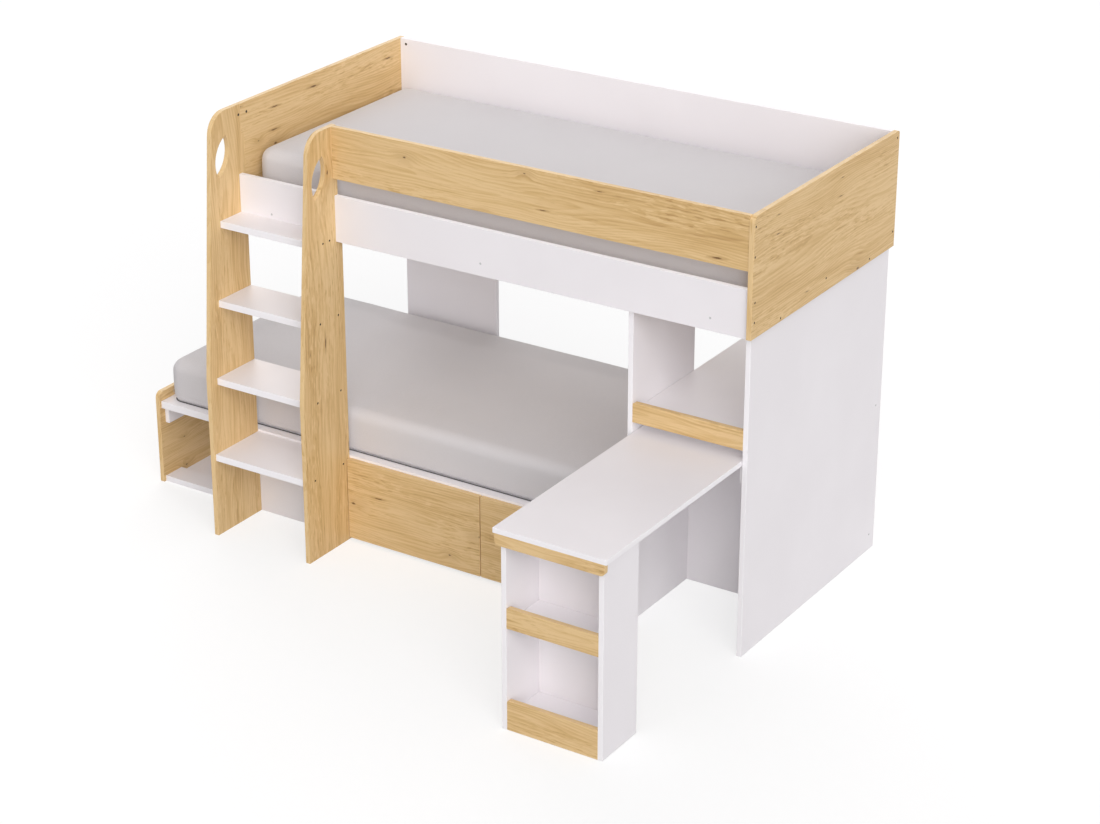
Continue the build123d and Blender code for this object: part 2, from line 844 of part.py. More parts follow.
def fit_bolts():
    """Bolts with cross dowels that tie the left end panel to the stile and to the back."""
    pieces["connecting_bolts"] = []
    middle_x = niche_right_x + board / 2
    for height, front_dowel in (
        (bed_height - upper_bolt_drop, jog_y - upper_bolt_gap),
        (support_height + lower_bolt_rise, base_y - lower_bolt_gap),
    ):
        start = (middle_x, front_dowel - bolt_tail, height)
        bolt = rod(start, (0, 1, 0), bolt_reach + 2 * bolt_tail, bolt_radius)
        for y, name in (
            (front_dowel, "ladder_left_stile"),
            (front_dowel + bolt_reach, "left_end_panel"),
        ):
            seat, dowel = cross_dowel(
                (upper_left_x, y, height), (-1, 0, 0), (middle_x, y, height), (0, 1, 0)
            )
            cut_from([name], seat + bolt)
            pieces["connecting_bolts"].append(dowel)
        pieces["connecting_bolts"].append(bolt)
    middle_y = upper_back_y + board / 2
    for height in (bed_height - back_bolt_drop, support_height + back_bolt_rise):
        dowel_x = upper_left_x + back_bolt_inset
        start = (niche_right_x + screw_recess, middle_y, height)
        head = rod(start, (1, 0, 0), screw_head_height, cross_dowel_radius)
        shank = rod(start, (1, 0, 0), dowel_x + bolt_tail - start[0], bolt_radius)
        bolt = head + shank
        opening = rod((niche_right_x, middle_y, height), (1, 0, 0), screw_recess, cross_dowel_radius)
        cut_from(["left_end_panel"], bolt + opening)
        seat, dowel = cross_dowel(
            (dowel_x, upper_back_y, height), (0, 1, 0), (dowel_x, middle_y, height), (1, 0, 0)
        )
        cut_from(["upper_back_panel"], seat + shank)
        pieces["connecting_bolts"].append(dowel)
        pieces["connecting_bolts"].append(bolt)


def write_pieces():
    """Move every piece to the origin under the middle of the bed, and write it."""
    left, right = bed_left_x, bed_right_x
    front, back = desk_front_y, side_panel_depth
    shift = Pos(-(left + right) / 2, -(front + back) / 2, 0)
    for name, solids in pieces.items():
        placed = [shift * solid for solid in solids]
        found = [single for part in placed for single in part.solids()]
        export_step(Compound(found), f"parts/{name}.step")
    print(len(pieces), "nodes, bed", right - left, "x", back - front, "x", bed_height)


make_lower_bed()
make_tower()
make_upper_bed()
make_ladder()
make_desk()
make_drawers()
drive_screws()
fit_bolts()
write_pieces()
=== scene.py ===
"""Bunk bed with desk: its finishes, mattresses and fittings, with studio light and a camera."""

import logging
import math
from dataclasses import dataclass
from enum import Enum
from typing import Any, Callable, Sequence

import bmesh
import bpy
from mathutils import Matrix, Vector


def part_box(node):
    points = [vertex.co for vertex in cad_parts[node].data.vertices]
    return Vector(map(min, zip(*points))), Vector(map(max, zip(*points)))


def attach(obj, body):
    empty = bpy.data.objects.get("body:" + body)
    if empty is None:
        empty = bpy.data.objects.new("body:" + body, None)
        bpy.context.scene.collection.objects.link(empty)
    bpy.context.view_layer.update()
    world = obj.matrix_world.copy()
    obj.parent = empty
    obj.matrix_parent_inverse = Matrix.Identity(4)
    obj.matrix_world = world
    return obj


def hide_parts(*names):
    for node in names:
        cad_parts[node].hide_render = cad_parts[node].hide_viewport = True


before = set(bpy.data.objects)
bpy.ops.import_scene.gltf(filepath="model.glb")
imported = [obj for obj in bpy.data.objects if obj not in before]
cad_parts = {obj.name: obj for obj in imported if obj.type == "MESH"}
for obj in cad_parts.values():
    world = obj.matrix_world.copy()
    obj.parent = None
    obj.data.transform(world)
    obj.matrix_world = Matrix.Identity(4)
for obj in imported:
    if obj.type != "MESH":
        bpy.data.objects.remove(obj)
log = logging.getLogger("bunk_bed")

Triple = tuple[float, float, float]
Span = tuple[float, float]
Colour = Triple
MM = 0.001


class Axis(Enum):
    """A direction of the bed's own frame."""

    X = (1.0, 0.0, 0.0)
    Y = (0.0, 1.0, 0.0)
    Z = (0.0, 0.0, 1.0)

    @property
    def vector(self) -> Vector:
        """The unit vector along this direction."""
        return Vector(self.value)


class Graph:
    """A node tree that is being built, with short ways to add what the finishes need."""

    def __init__(self, tree: bpy.types.NodeTree) -> None:
        """Start on an empty tree.

        Args:
            tree: the tree to fill; whatever it holds is cleared.
        """
        self.tree = tree
        tree.nodes.clear()

    def put(self, socket: bpy.types.NodeSocket, value: Any) -> None:
        """Give an input its value, or link it if the value is another node's output.

        Args:
            socket: the input.
            value: a plain value, an output, or None to leave the input as it is.
        """
        if isinstance(value, bpy.types.NodeSocket):
            self.tree.links.new(value, socket)
        elif value is not None:
            socket.default_value = value

    def add(self, kind: str, inputs: dict[Any, Any] | None = None, **settings: Any) -> bpy.types.Node:
        """Add a node.

        Args:
            kind: the node's type name.
            inputs: values or outputs for its inputs, by name or number.
            settings: the node's own properties.

        Returns:
            The new node.
        """
        node = self.tree.nodes.new(kind)
        for name, value in settings.items():
            setattr(node, name, value)
        for key, value in (inputs or {}).items():
            self.put(node.inputs[key], value)
        return node

    def out(self, kind: str, inputs: dict[Any, Any] | None = None, **settings: Any) -> Any:
        """Add a node and give its first output."""
        return self.add(kind, inputs, **settings).outputs[0]

    def math(self, operation: str, first: Any, second: Any = None, third: Any = None) -> Any:
        """The output of a Math node on up to three values."""
        return self.out("ShaderNodeMath", {0: first, 1: second, 2: third}, operation=operation)

    def times(self, first: Any, second: Any) -> Any:
        """The product of two values."""
        return self.math("MULTIPLY", first, second)

    def square(self, value: Any) -> Any:
        """A value times itself."""
        return self.math("POWER", value, 2.0)

    def vector(self, operation: str, first: Any, second: Any = None) -> Any:
        """The vector output of a Vector Math node."""
        return self.out("ShaderNodeVectorMath", {0: first, 1: second}, operation=operation)

    def split(self, vector: Any) -> tuple[Any, Any, Any]:
        """The three components of a vector."""
        out = self.add("ShaderNodeSeparateXYZ", {0: vector}).outputs
        return out[0], out[1], out[2]

    def join(self, x: Any, y: Any, z: Any) -> Any:
        """A vector from three components."""
        return self.out("ShaderNodeCombineXYZ", {0: x, 1: y, 2: z})

    def noise(self, place: Any, scale: Sequence[float], detail: float = 2.0) -> Any:
        """Noise between 0 and 1.

        Args:
            place: the position that the noise is read at.
            scale: how often it varies in each direction, per metre.
            detail: how many finer layers it has.

        Returns:
            The output that holds the value.
        """
        scaled = self.vector("MULTIPLY", place, tuple(scale))
        return self.out("ShaderNodeTexNoise", {"Vector": scaled, "Scale": 1.0, "Detail": detail})

    def swing(self, place: Any, scale: Sequence[float], detail: float = 2.0) -> Any:
        """The same noise between -0.5 and 0.5."""
        return self.math("SUBTRACT", self.noise(place, scale, detail), 0.5)

    def step(self, value: Any, low: float, high: float) -> Any:
        """Rise smoothly from 0 where the value is low to 1 where it is high."""
        given = {0: value, 1: low, 2: high, 3: 0.0, 4: 1.0}
        return self.out("ShaderNodeMapRange", given, interpolation_type="SMOOTHSTEP")

    def blend(self, factor: Any, first: Any, second: Any) -> Any:
        """Mix two colours."""
        given = {0: factor, 6: opaque(first), 7: opaque(second)}
        return self.add("ShaderNodeMix", given, data_type="RGBA").outputs[2]

    def between(self, factor: Any, first: Any, second: Any) -> Any:
        """Mix two vectors."""
        given = {0: factor, 4: first, 5: second}
        return self.add("ShaderNodeMix", given, data_type="VECTOR").outputs[1]

    def surface(self, height: Any, relief: Span, finish: dict[str, Any]) -> None:
        """End a material in a surface with a fine relief.

        Args:
            height: the relief's height, between 0 and about 1.
            relief: how strong the relief is, and how deep.
            finish: the values of the surface's other inputs, by name.
        """
        strength, depth = relief
        bump = self.out("ShaderNodeBump", {"Height": height, "Strength": strength, "Distance": depth})
        shader = self.out("ShaderNodeBsdfPrincipled", {**finish, "Normal": bump})
        self.add("ShaderNodeOutputMaterial", {"Surface": shader})


def opaque(colour: Any) -> Any:
    """A colour with full alpha, or an output as it is."""
    return (*colour, 1.0) if isinstance(colour, tuple) else colour


def shared_material(name: str, fill: Callable[[Graph], None]) -> bpy.types.Material:
    """A material that is made when it is first asked for.

    Args:
        name: the material's name.
        fill: what adds its nodes.

    Returns:
        The material.
    """
    if name not in bpy.data.materials:
        material = bpy.data.materials.new(name)
        material.use_nodes = True
        fill(Graph(material.node_tree))
    return bpy.data.materials[name]


def shared_group(
    name: str,
    kind: str,
    inputs: dict[str, str],
    outputs: dict[str, str],
    fill: Callable[[Graph, Any], None],
) -> bpy.types.NodeTree:
    """A node group that is made when it is first asked for.

    Args:
        name: the group's name.
        kind: the tree's type name.
        inputs: the kind of each input's socket, by the input's name.
        outputs: the kind of each output's socket, by the output's name.
        fill: what adds its nodes, given the graph and the group's own inputs.

    Returns:
        The group's tree.
    """
    if name in bpy.data.node_groups:
        return bpy.data.node_groups[name]
    tree = bpy.data.node_groups.new(name, kind)
    for way, sockets in (("INPUT", inputs), ("OUTPUT", outputs)):
        for label, socket in sockets.items():
            tree.interface.new_socket(name=label, in_out=way, socket_type=f"NodeSocket{socket}")
    g = Graph(tree)
    fill(g, g.add("NodeGroupInput").outputs)
    return tree


def board_turn(grain: Axis, face: Axis) -> Matrix:
    """Turn the bed's frame so that x runs along a board's grain and z through its thickness.

    Args:
        grain: the direction that the grain runs in.
        face: the direction through the board.

    Returns:
        A rotation matrix.
    """
    along = grain.vector
    through = face.vector
    return Matrix((along, through.cross(along), through))


@dataclass(frozen=True)
class Board:
    """How a board lies: its node, the way its grain runs and the way its thickness points."""

    node: str
    grain: Axis
    face: Axis
    seed: float = 0.0

    def middle(self) -> Vector:
        """The middle of the board's box."""
        low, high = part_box(self.node)
        return (low + high) / 2


@dataclass(frozen=True)
class OakDecor:
    """Oak decor with low cathedral grain, fine pores, a few dark splits and small knots."""

    light: Colour = (0.730, 0.518, 0.268)
    middle: Colour = (0.605, 0.396, 0.170)
    dark: Colour = (0.405, 0.234, 0.086)
    split: Colour = (0.120, 0.058, 0.020)
    base_tone: float = 0.12
    ring_depth: float = 0.36
    ring_width: float = 9 * MM
    pith_depth: float = 30 * MM
    pith_slope: float = 0.028
    edge_lift: float = 0.25
    seed_apart: Triple = (3.7, 1.3, 0.9)
    grain_sway: float = 36 * MM
    knot_push: float = 14 * MM
    sway_scale: Triple = (2.6, 9.0, 9.0)
    streaks: tuple[tuple[Triple, float, float], ...] = (
        ((1.1, 7.5, 7.5), 2.0, 1.15),
        ((2.2, 44.0, 44.0), 2.0, 1.10),
        ((5.5, 115.0, 115.0), 1.0, 0.90),
    )
    fibre_scale: Triple = (7.0, 210.0, 210.0)
    fibre_depth: float = 0.6
    pore_scale: Triple = (26.0, 620.0, 620.0)
    pore_span: Span = (0.60, 0.74)
    pore_share: float = 0.30
    middle_span: Span = (-0.15, 0.75)
    dark_span: Span = (0.45, 1.35)
    dark_share: float = 0.80
    halo_share: float = 0.55
    mark_share: float = 0.92
    split_cells: Triple = (4.6, 12.0, 1.0)
    split_share: float = 0.17
    split_length: float = 17 * MM
    split_width: float = 2.3 * MM
    knot_cells: Triple = (2.1, 6.5, 1.0)
    knot_share: float = 0.42
    knot_radius: float = 4.6 * MM
    knot_stretch: float = 2.1
    swirl_reach: float = 42 * MM
    turned_to: float = 0.7
    relief: Span = (0.35, 0.25 * MM)
    roughness: float = 0.46
    pore_roughness: float = 0.12
    gloss: float = 0.32

    def pattern(self) -> bpy.types.NodeTree:
        """The decor's pattern, made once and shared by every oak board."""
        inputs = {"Place": "Vector", "Seed": "Float", "Edge": "Float"}
        outputs = {"Colour": "Color", "Roughness": "Float", "Height": "Float"}
        return shared_group("oak_decor_pattern", "ShaderNodeTree", inputs, outputs, self.draw)

    def draw(self, g: Graph, given: Any) -> None:
        """Draw the pattern.

        Args:
            g: the group's graph.
            given: the group's own inputs.
        """
        seed = given["Seed"]
        shift = g.vector("MULTIPLY", g.join(seed, seed, seed), self.seed_apart)
        place = g.vector("ADD", given["Place"], shift)
        splits, split_halo = self.splits(g, place)
        knots, swirl = self.knots(g, place)
        bend = g.times(g.swing(place, self.sway_scale), self.grain_sway)
        drift = g.math("MULTIPLY_ADD", swirl, self.knot_push, bend)
        bent = g.vector("ADD", place, g.join(0.0, drift, 0.0))
        tone = self.figure(g, bent, self.rings(g, given["Place"], place, drift))
        tone = g.math("SUBTRACT", tone, g.times(given["Edge"], self.edge_lift))
        fibres = g.noise(bent, self.fibre_scale, 3.0)
        tone = g.math("MULTIPLY_ADD", g.math("SUBTRACT", fibres, 0.5), self.fibre_depth, tone)
        pores = g.step(g.noise(bent, self.pore_scale, 1.0), *self.pore_span)
        colour = g.blend(g.step(tone, *self.middle_span), self.light, self.middle)
        colour = g.blend(g.times(g.step(tone, *self.dark_span), self.dark_share), colour, self.dark)
        colour = g.blend(g.times(pores, self.pore_share), colour, self.dark)
        halo = g.times(g.math("MAXIMUM", split_halo, g.times(swirl, 0.5)), self.halo_share)
        colour = g.blend(halo, colour, self.dark)
        marks = g.math("MAXIMUM", splits, knots)
        colour = g.blend(g.times(marks, self.mark_share), colour, self.split)
        grip = g.math("MULTIPLY_ADD", pores, self.pore_roughness, self.roughness)
        height = g.math("SUBTRACT", g.times(fibres, 0.35), g.times(pores, 0.6))
        g.add("NodeGroupOutput", {0: colour, 1: grip, 2: g.math("SUBTRACT", height, marks)})

    def figure(self, g: Graph, bent: Any, rings: Any) -> Any:
        """Lay broad patches, streaks and short flecks over the year rings.

        Args:
            g: the graph to add to.
            bent: the position on the board, with the grain's sway.
            rings: the year rings.

        Returns:
            How dark the wood is.
        """
        tone = g.math("MULTIPLY_ADD", rings, self.ring_depth, self.base_tone)
        for scale, detail, strength in self.streaks:
            tone = g.math("MULTIPLY_ADD", g.swing(bent, scale, detail), strength, tone)
        lively = g.step(g.noise(bent, (2.3, 9.0, 9.0), 1.0), 0.42, 0.62)
        fleck = g.noise(bent, (24.0, 150.0, 150.0), 1.0)
        pale = g.times(g.step(fleck, 0.58, 0.70), -0.60)
        dim = g.times(g.step(fleck, 0.42, 0.30), 0.50)
        return g.math("MULTIPLY_ADD", g.math("ADD", pale, dim), lively, tone)

    def rings(self, g: Graph, own: Any, place: Any, drift: Any) -> Any:
        """Cut year rings lengthwise, so that they show as nested arches between straight lines.

        Args:
            g: the graph to add to.
            own: the position from the board's middle.
            place: the position in the board's own stretch of the pattern.
            drift: how far the grain sways across the board.

        Returns:
            The rings, dark at the end of each year.
        """
        along, across, through = g.split(own)
        wide = g.swing(place, (1.6, 5.0, 5.0), 1.0)
        wobble = g.swing(place, (9.0, 40.0, 40.0), 1.0)
        side = g.math("ADD", g.math("MULTIPLY_ADD", wide, 0.11, across), drift)
        depth = g.math("MULTIPLY_ADD", along, self.pith_slope, self.pith_depth)
        depth = g.math("ADD", depth, through)
        radius = g.math("SQRT", g.math("ADD", g.square(side), g.square(depth)))
        radius = g.math("MULTIPLY_ADD", wobble, 5 * MM, radius)
        part = g.math("FRACT", g.math("DIVIDE", radius, self.ring_width))
        return g.math("SUBTRACT", g.step(part, 0.05, 0.86), g.step(part, 0.90, 1.0))

    def spots(self, g: Graph, place: Any, scale: Triple, share: float) -> tuple[Any, Any, Any]:
        """Scattered places on the board, of different sizes.

        Args:
            g: the graph to add to.
            place: the position on the board.
            scale: cells per metre along and across the grain.
            share: the part of the cells that hold a mark.

        Returns:
            The distances along and across from the nearest place, both for a mark of mean size,
            and 1 if it holds a mark.
        """
        scaled = g.vector("MULTIPLY", place, scale)
        cells = g.add("ShaderNodeTexVoronoi", {"Vector": scaled, "Scale": 1.0}, voronoi_dimensions="2D")
        nearest, chances = cells.outputs["Position"], cells.outputs["Color"]
        chance, luck, _ = g.split(chances)
        size = g.math("MULTIPLY_ADD", luck, 0.9, 0.45)
        near, side, _ = g.split(g.vector("DIVIDE", g.vector("SUBTRACT", scaled, nearest), scale))
        present = g.math("LESS_THAN", chance, share)
        return g.math("DIVIDE", near, size), g.math("DIVIDE", side, size), present

    def splits(self, g: Graph, place: Any) -> tuple[Any, Any]:
        """Scatter short dark splits along the grain.

        Args:
            g: the graph to add to.
            place: the position on the board.

        Returns:
            The splits, and the brown halo round them.
        """
        near, side, present = self.spots(g, place, self.split_cells, self.split_share)
        ragged = g.swing(place, (60.0, 300.0, 300.0))
        side = g.math("MULTIPLY_ADD", ragged, 5 * MM, g.math("MULTIPLY_ADD", near, 0.05, side))
        far = g.square(g.math("DIVIDE", near, self.split_length))
        wide = g.square(g.math("DIVIDE", side, self.split_width))
        reach = g.math("ADD", far, wide)
        core = g.times(g.step(reach, 1.0, 0.2), present)
        return core, g.times(g.step(reach, 6.0, 0.8), present)

    def knots(self, g: Graph, place: Any) -> tuple[Any, Any]:
        """Scatter small knots.

        Args:
            g: the graph to add to.
            place: the position on the board.

        Returns:
            The knots, and how far the grain swirls round them.
        """
        near, side, present = self.spots(g, place, self.knot_cells, self.knot_share)
        far = g.square(g.math("DIVIDE", near, self.knot_stretch))
        away = g.math("SQRT", g.math("ADD", far, g.square(side)))
        ragged = g.swing(place, (150.0, 220.0, 220.0))
        away = g.math("MULTIPLY_ADD", ragged, 4 * MM, away)
        core = g.times(g.step(away, self.knot_radius, 1.2 * MM), present)
        return core, g.times(g.step(away, self.swirl_reach, 2 * MM), present)

    def lay(self, g: Graph, board: Board) -> None:
        """Turn and place the pattern on one board.

        Args:
            g: the material's graph.
            board: how the board lies.
        """
        turn = board_turn(board.grain, board.face)
        coordinates = g.add("ShaderNodeTexCoord").outputs
        turned = {"Rotation": turn.to_euler(), "Location": -(turn @ board.middle())}
        place = g.out("ShaderNodeMapping", {"Vector": coordinates["Object"], **turned})
        facing = {"Vector": coordinates["Normal"], "Rotation": turn.to_euler()}
        facing = g.out("ShaderNodeMapping", facing, vector_type="VECTOR")
        end, side, _ = (g.math("ABSOLUTE", part) for part in g.split(facing))
        on_end = g.math("GREATER_THAN", end, self.turned_to)
        on_edge = g.math("MAXIMUM", on_end, g.math("GREATER_THAN", side, self.turned_to))
        along, across, through = g.split(place)
        place = g.between(on_end, place, g.join(across, through, along))
        given = {"Place": place, "Seed": board.seed, "Edge": on_edge}
        drawn = g.add("ShaderNodeGroup", given, node_tree=self.pattern()).outputs
        finish = {"Base Color": drawn["Colour"], "Roughness": drawn["Roughness"]}
        g.surface(drawn["Height"], self.relief, {**finish, "Specular IOR Level": self.gloss})

    def material(self, board: Board) -> bpy.types.Material:
        """The material of one board."""
        return shared_material(f"oak_decor_{board.node}", lambda g: self.lay(g, board))


@dataclass(frozen=True)
class WhiteMelamine:
    """Off-white melamine with a fine pearl texture and slightly brighter edge bands."""

    face: Colour = (0.830, 0.800, 0.822)
    shade: Colour = (0.806, 0.775, 0.797)
    band: Colour = (0.870, 0.845, 0.866)
    cloud_scale: Triple = (3.0, 3.0, 3.0)
    cloud_span: Span = (0.3, 0.7)
    pearl_scale: Triple = (900.0, 900.0, 900.0)
    pit_scale: Triple = (260.0, 260.0, 260.0)
    pit_span: Span = (0.62, 0.8)
    pit_share: float = 0.25
    pit_depth: float = 1.5
    turned_to: float = 0.6
    relief: Span = (0.16, 0.12 * MM)
    roughness: float = 0.40
    pearl_roughness: float = 0.10
    gloss: float = 0.34

    def lay(self, g: Graph, face: Axis) -> None:
        """Lay the melamine on boards whose thickness points one way.

        Args:
            g: the material's graph.
            face: the direction through the boards.
        """
        coordinates = g.add("ShaderNodeTexCoord").outputs
        place = coordinates["Object"]
        facing = {0: coordinates["Normal"], 1: face.value}
        through = g.add("ShaderNodeVectorMath", facing, operation="DOT_PRODUCT").outputs["Value"]
        on_band = g.math("LESS_THAN", g.math("ABSOLUTE", through), self.turned_to)
        cloud = g.noise(place, self.cloud_scale, 2.0)
        pearl = g.noise(place, self.pearl_scale, 1.0)
        pits = g.noise(place, self.pit_scale, 2.0)
        colour = g.blend(g.step(cloud, *self.cloud_span), self.face, self.shade)
        colour = g.blend(g.times(g.step(pits, *self.pit_span), self.pit_share), colour, self.shade)
        colour = g.blend(on_band, colour, self.band)
        grip = g.math("MULTIPLY_ADD", pearl, self.pearl_roughness, self.roughness)
        height = g.math("ADD", pearl, g.times(pits, self.pit_depth))
        finish = {"Base Color": colour, "Roughness": grip, "Specular IOR Level": self.gloss}
        g.surface(height, self.relief, finish)

    def material(self, face: Axis) -> bpy.types.Material:
        """The material for boards whose thickness points one way."""
        return shared_material(f"white_melamine_{face.name.lower()}", lambda g: self.lay(g, face))


@dataclass(frozen=True)
class PlanedPine:
    """Bare planed pine for the slats and their bearers."""

    light: Colour = (0.700, 0.520, 0.300)
    late: Colour = (0.560, 0.355, 0.165)
    year_scale: Triple = (0.7, 18.0, 30.0)
    years: float = 14.0
    year_share: float = 0.55
    fibre_scale: Triple = (8.0, 260.0, 260.0)
    fibre_share: float = 0.35
    relief: Span = (0.3, 0.3 * MM)
    roughness: float = 0.62
    gloss: float = 0.25

    def lay(self, g: Graph, grain: Axis) -> None:
        """Draw the pine for lengths whose grain runs one way.

        Args:
            g: the material's graph.
            grain: the direction that the grain runs in.
        """
        turn = board_turn(grain, Axis.Z).to_euler()
        own = g.add("ShaderNodeTexCoord").outputs["Object"]
        place = g.out("ShaderNodeMapping", {"Vector": own, "Rotation": turn})
        wave = g.noise(place, self.year_scale, 1.0)
        lines = g.math("FRACT", g.times(wave, self.years))
        fibre = g.noise(place, self.fibre_scale, 2.0)
        colour = g.blend(g.times(g.step(lines, 0.35, 1.0), self.year_share), self.light, self.late)
        colour = g.blend(g.times(g.step(fibre, 0.5, 0.8), self.fibre_share), colour, self.late)
        finish = {"Base Color": colour, "Roughness": self.roughness, "Specular IOR Level": self.gloss}
        g.surface(fibre, self.relief, finish)

    def material(self, grain: Axis) -> bpy.types.Material:
        """The material for lengths whose grain runs one way."""
        return shared_material(f"planed_pine_{grain.name.lower()}", lambda g: self.lay(g, grain))


@dataclass(frozen=True)
class CoverCloth:
    """Woven cloth with a fine weave and a soft sheen, light grey on the mattress covers; the hollows of the
    weave are painted darker as shade.
    """

    name: str = "cover_cloth"
    thread: Colour = (0.665, 0.640, 0.650)
    # Darker colour: painted shade in the hollows between the threads, and the random mottled patches.
    painted_gap_shade_and_mottle: Colour = (0.560, 0.535, 0.545)
    pitch: float = 1.7 * MM
    slub_scale: Triple = (340.0, 90.0, 340.0)
    cloud_scale: Triple = (5.0, 5.0, 5.0)
    thread_depth: float = 0.7
    slub_depth: float = 0.3
    cloud_share: float = 0.16
    relief: Span = (0.3, 0.4 * MM)
    roughness: float = 0.88
    gloss: float = 0.2
    sheen: float = 0.18
    sheen_roughness: float = 0.5

    def weave(self, g: Graph, first: Any, second: Any) -> Any:
        """Pass threads over and under each other in two directions.

        Args:
            g: the graph to add to.
            first: the place along one direction.
            second: the place along the other.

        Returns:
            The height of the threads.
        """
        turn = math.pi / self.pitch
        waves = [g.math("SINE", g.times(part, turn)) for part in (first, second)]
        return g.math("ABSOLUTE", g.times(*waves))

    def lay(self, g: Graph) -> None:
        """Weave the cloth on the faces of each direction.

        Args:
            g: the material's graph.
        """
        coordinates = g.add("ShaderNodeTexCoord").outputs
        place = coordinates["Object"]
        x, y, z = g.split(place)
        facing = [g.square(part) for part in g.split(coordinates["Normal"])]
        top = g.times(self.weave(g, x, y), facing[2])
        end = g.times(self.weave(g, y, z), facing[0])
        side = g.times(self.weave(g, x, z), facing[1])
        threads = g.math("ADD", g.math("ADD", top, end), side)
        slub = g.noise(place, self.slub_scale, 2.0)
        cloud = g.noise(place, self.cloud_scale, 3.0)
        level = g.math("ADD", g.times(threads, self.thread_depth), g.times(slub, self.slub_depth))
        # Painted shade: the colour darkens where the weave's relief is low, between the threads.
        colour = g.blend(g.step(level, 0.0, 0.75), self.painted_gap_shade_and_mottle, self.thread)
        finish = {
            "Base Color": g.blend(g.times(g.step(cloud, 0.35, 0.75), self.cloud_share), colour, self.painted_gap_shade_and_mottle),
            "Roughness": self.roughness,
            "Specular IOR Level": self.gloss,
            "Sheen Weight": self.sheen,
            "Sheen Roughness": self.sheen_roughness,
        }
        g.surface(level, self.relief, finish)

    def material(self) -> bpy.types.Material:
        """The cloth's material."""
        return shared_material(self.name, self.lay)


@dataclass(frozen=True)
class Metal:
    """Steel of the fittings, with fine drawing marks and a slightly mottled coat."""

    name: str
    bright: Colour
    dull: Colour
    roughness: float
    metallic: float
    mottle_scale: Triple = (700.0, 700.0, 700.0)
    mark_scale: Triple = (120.0, 2600.0, 2600.0)
    mottle_roughness: float = 0.25
    relief: Span = (0.15, 0.1 * MM)

    def lay(self, g: Graph) -> None:
        """Draw the coat and the marks.

        Args:
            g: the material's graph.
        """
        place = g.add("ShaderNodeTexCoord").outputs["Object"]
        mottle = g.noise(place, self.mottle_scale, 3.0)
        colour = g.blend(g.step(mottle, 0.35, 0.7), self.bright, self.dull)
        grip = g.math("MULTIPLY_ADD", mottle, self.mottle_roughness, self.roughness)
        finish = {"Base Color": colour, "Roughness": grip, "Metallic": self.metallic}
        g.surface(g.noise(place, self.mark_scale, 2.0), self.relief, finish)

    def material(self) -> bpy.types.Material:
        """The metal's material."""
        return shared_material(self.name, self.lay)


@dataclass(frozen=True)
class WheelPlastic:
    """Hard dark plastic with a fine moulded grain and a little floor dust."""

    base: Colour = (0.030, 0.030, 0.033)
    dust: Colour = (0.085, 0.083, 0.080)
    grain_scale: Triple = (1500.0, 1500.0, 1500.0)
    dust_scale: Triple = (160.0, 160.0, 160.0)
    roughness: float = 0.32
    dust_roughness: float = 0.3
    relief: Span = (0.2, 0.1 * MM)

    def lay(self, g: Graph) -> None:
        """Mould the grain and lay the dust.

        Args:
            g: the material's graph.
        """
        place = g.add("ShaderNodeTexCoord").outputs["Object"]
        dust = g.noise(place, self.dust_scale, 3.0)
        colour = g.blend(g.step(dust, 0.45, 0.8), self.base, self.dust)
        grip = g.math("MULTIPLY_ADD", dust, self.dust_roughness, self.roughness)
        finish = {"Base Color": colour, "Roughness": grip}
        g.surface(g.noise(place, self.grain_scale, 1.0), self.relief, finish)

    def material(self) -> bpy.types.Material:
        """The wheels' material."""
        return shared_material("wheel_plastic", self.lay)


OAK = OakDecor()
MELAMINE = WhiteMelamine()
PINE = PlanedPine()
CLOTH = CoverCloth()
# A near-black cloth for the cord round each cover's foot: painted shadow along the line where the cover meets
# what it lies on.
PAINTED_SHADOW_CLOTH = CoverCloth("painted_shadow_cloth", (0.110, 0.108, 0.110), (0.070, 0.068, 0.070), 0.8 * MM)
SCREW_STEEL = Metal("blackened_steel", (0.060, 0.038, 0.020), (0.032, 0.019, 0.010), 0.45, 0.3)
ZINC = Metal("zinc_plated_steel", (0.600, 0.595, 0.590), (0.460, 0.460, 0.470), 0.26, 0.9)
PLASTIC = WheelPlastic()


def dress(node: str, material: bpy.types.Material) -> None:
    """Put a material on every slot of a node that keeps its own shape.

    Args:
        node: the node's name.
        material: the material.
    """
    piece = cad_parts[node]
    if not piece.material_slots:
        piece.data.materials.append(material)
    for slot in piece.material_slots:
        slot.material = material
    log.info("%s dressed in %s", node, material.name)


def dress_oak(boards: Sequence[Board]) -> None:
    """Dress boards in the oak decor, each with its own stretch of the pattern."""
    for board in boards:
        dress(board.node, OAK.material(board))


def dress_white(nodes: Sequence[str], face: Axis) -> None:
    """Dress boards whose thickness points one way in white melamine."""
    for node in nodes:
        dress(node, MELAMINE.material(face))


def dress_castors(owner: str) -> None:
    """Dress the castors of the desk or of a drawer.

    Args:
        owner: what the names of its brackets and wheels start with.
    """
    dress(f"{owner}_castor_brackets", ZINC.material())
    for row in ("front", "rear"):
        dress(f"{owner}_{row}_wheels", PLASTIC.material())


def mesh_from(build: bmesh.types.BMesh, name: str) -> bpy.types.Mesh:
    """Turn a built form into a mesh, and free it.

    Args:
        build: the form.
        name: the mesh's name.

    Returns:
        The mesh.
    """
    mesh = bpy.data.meshes.new(name)
    build.to_mesh(mesh)
    build.free()
    return mesh


def new_piece(name: str, data: bpy.types.ID) -> bpy.types.Object:
    """Put a mesh, a lamp or a camera into the scene as an object at the origin.

    Args:
        name: the object's name.
        data: what the object holds.

    Returns:
        The object.
    """
    piece = bpy.data.objects.new(name, data)
    bpy.context.scene.collection.objects.link(piece)
    return piece


def plain_mesh(piece: bpy.types.Object) -> None:
    """Turn what an object's modifiers make into its own plain mesh.

    Args:
        piece: the object.
    """
    graph = bpy.context.evaluated_depsgraph_get()
    made = bpy.data.meshes.new_from_object(
        piece.evaluated_get(graph), preserve_all_data_layers=True, depsgraph=graph
    )
    piece.modifiers.clear()
    piece.data = made


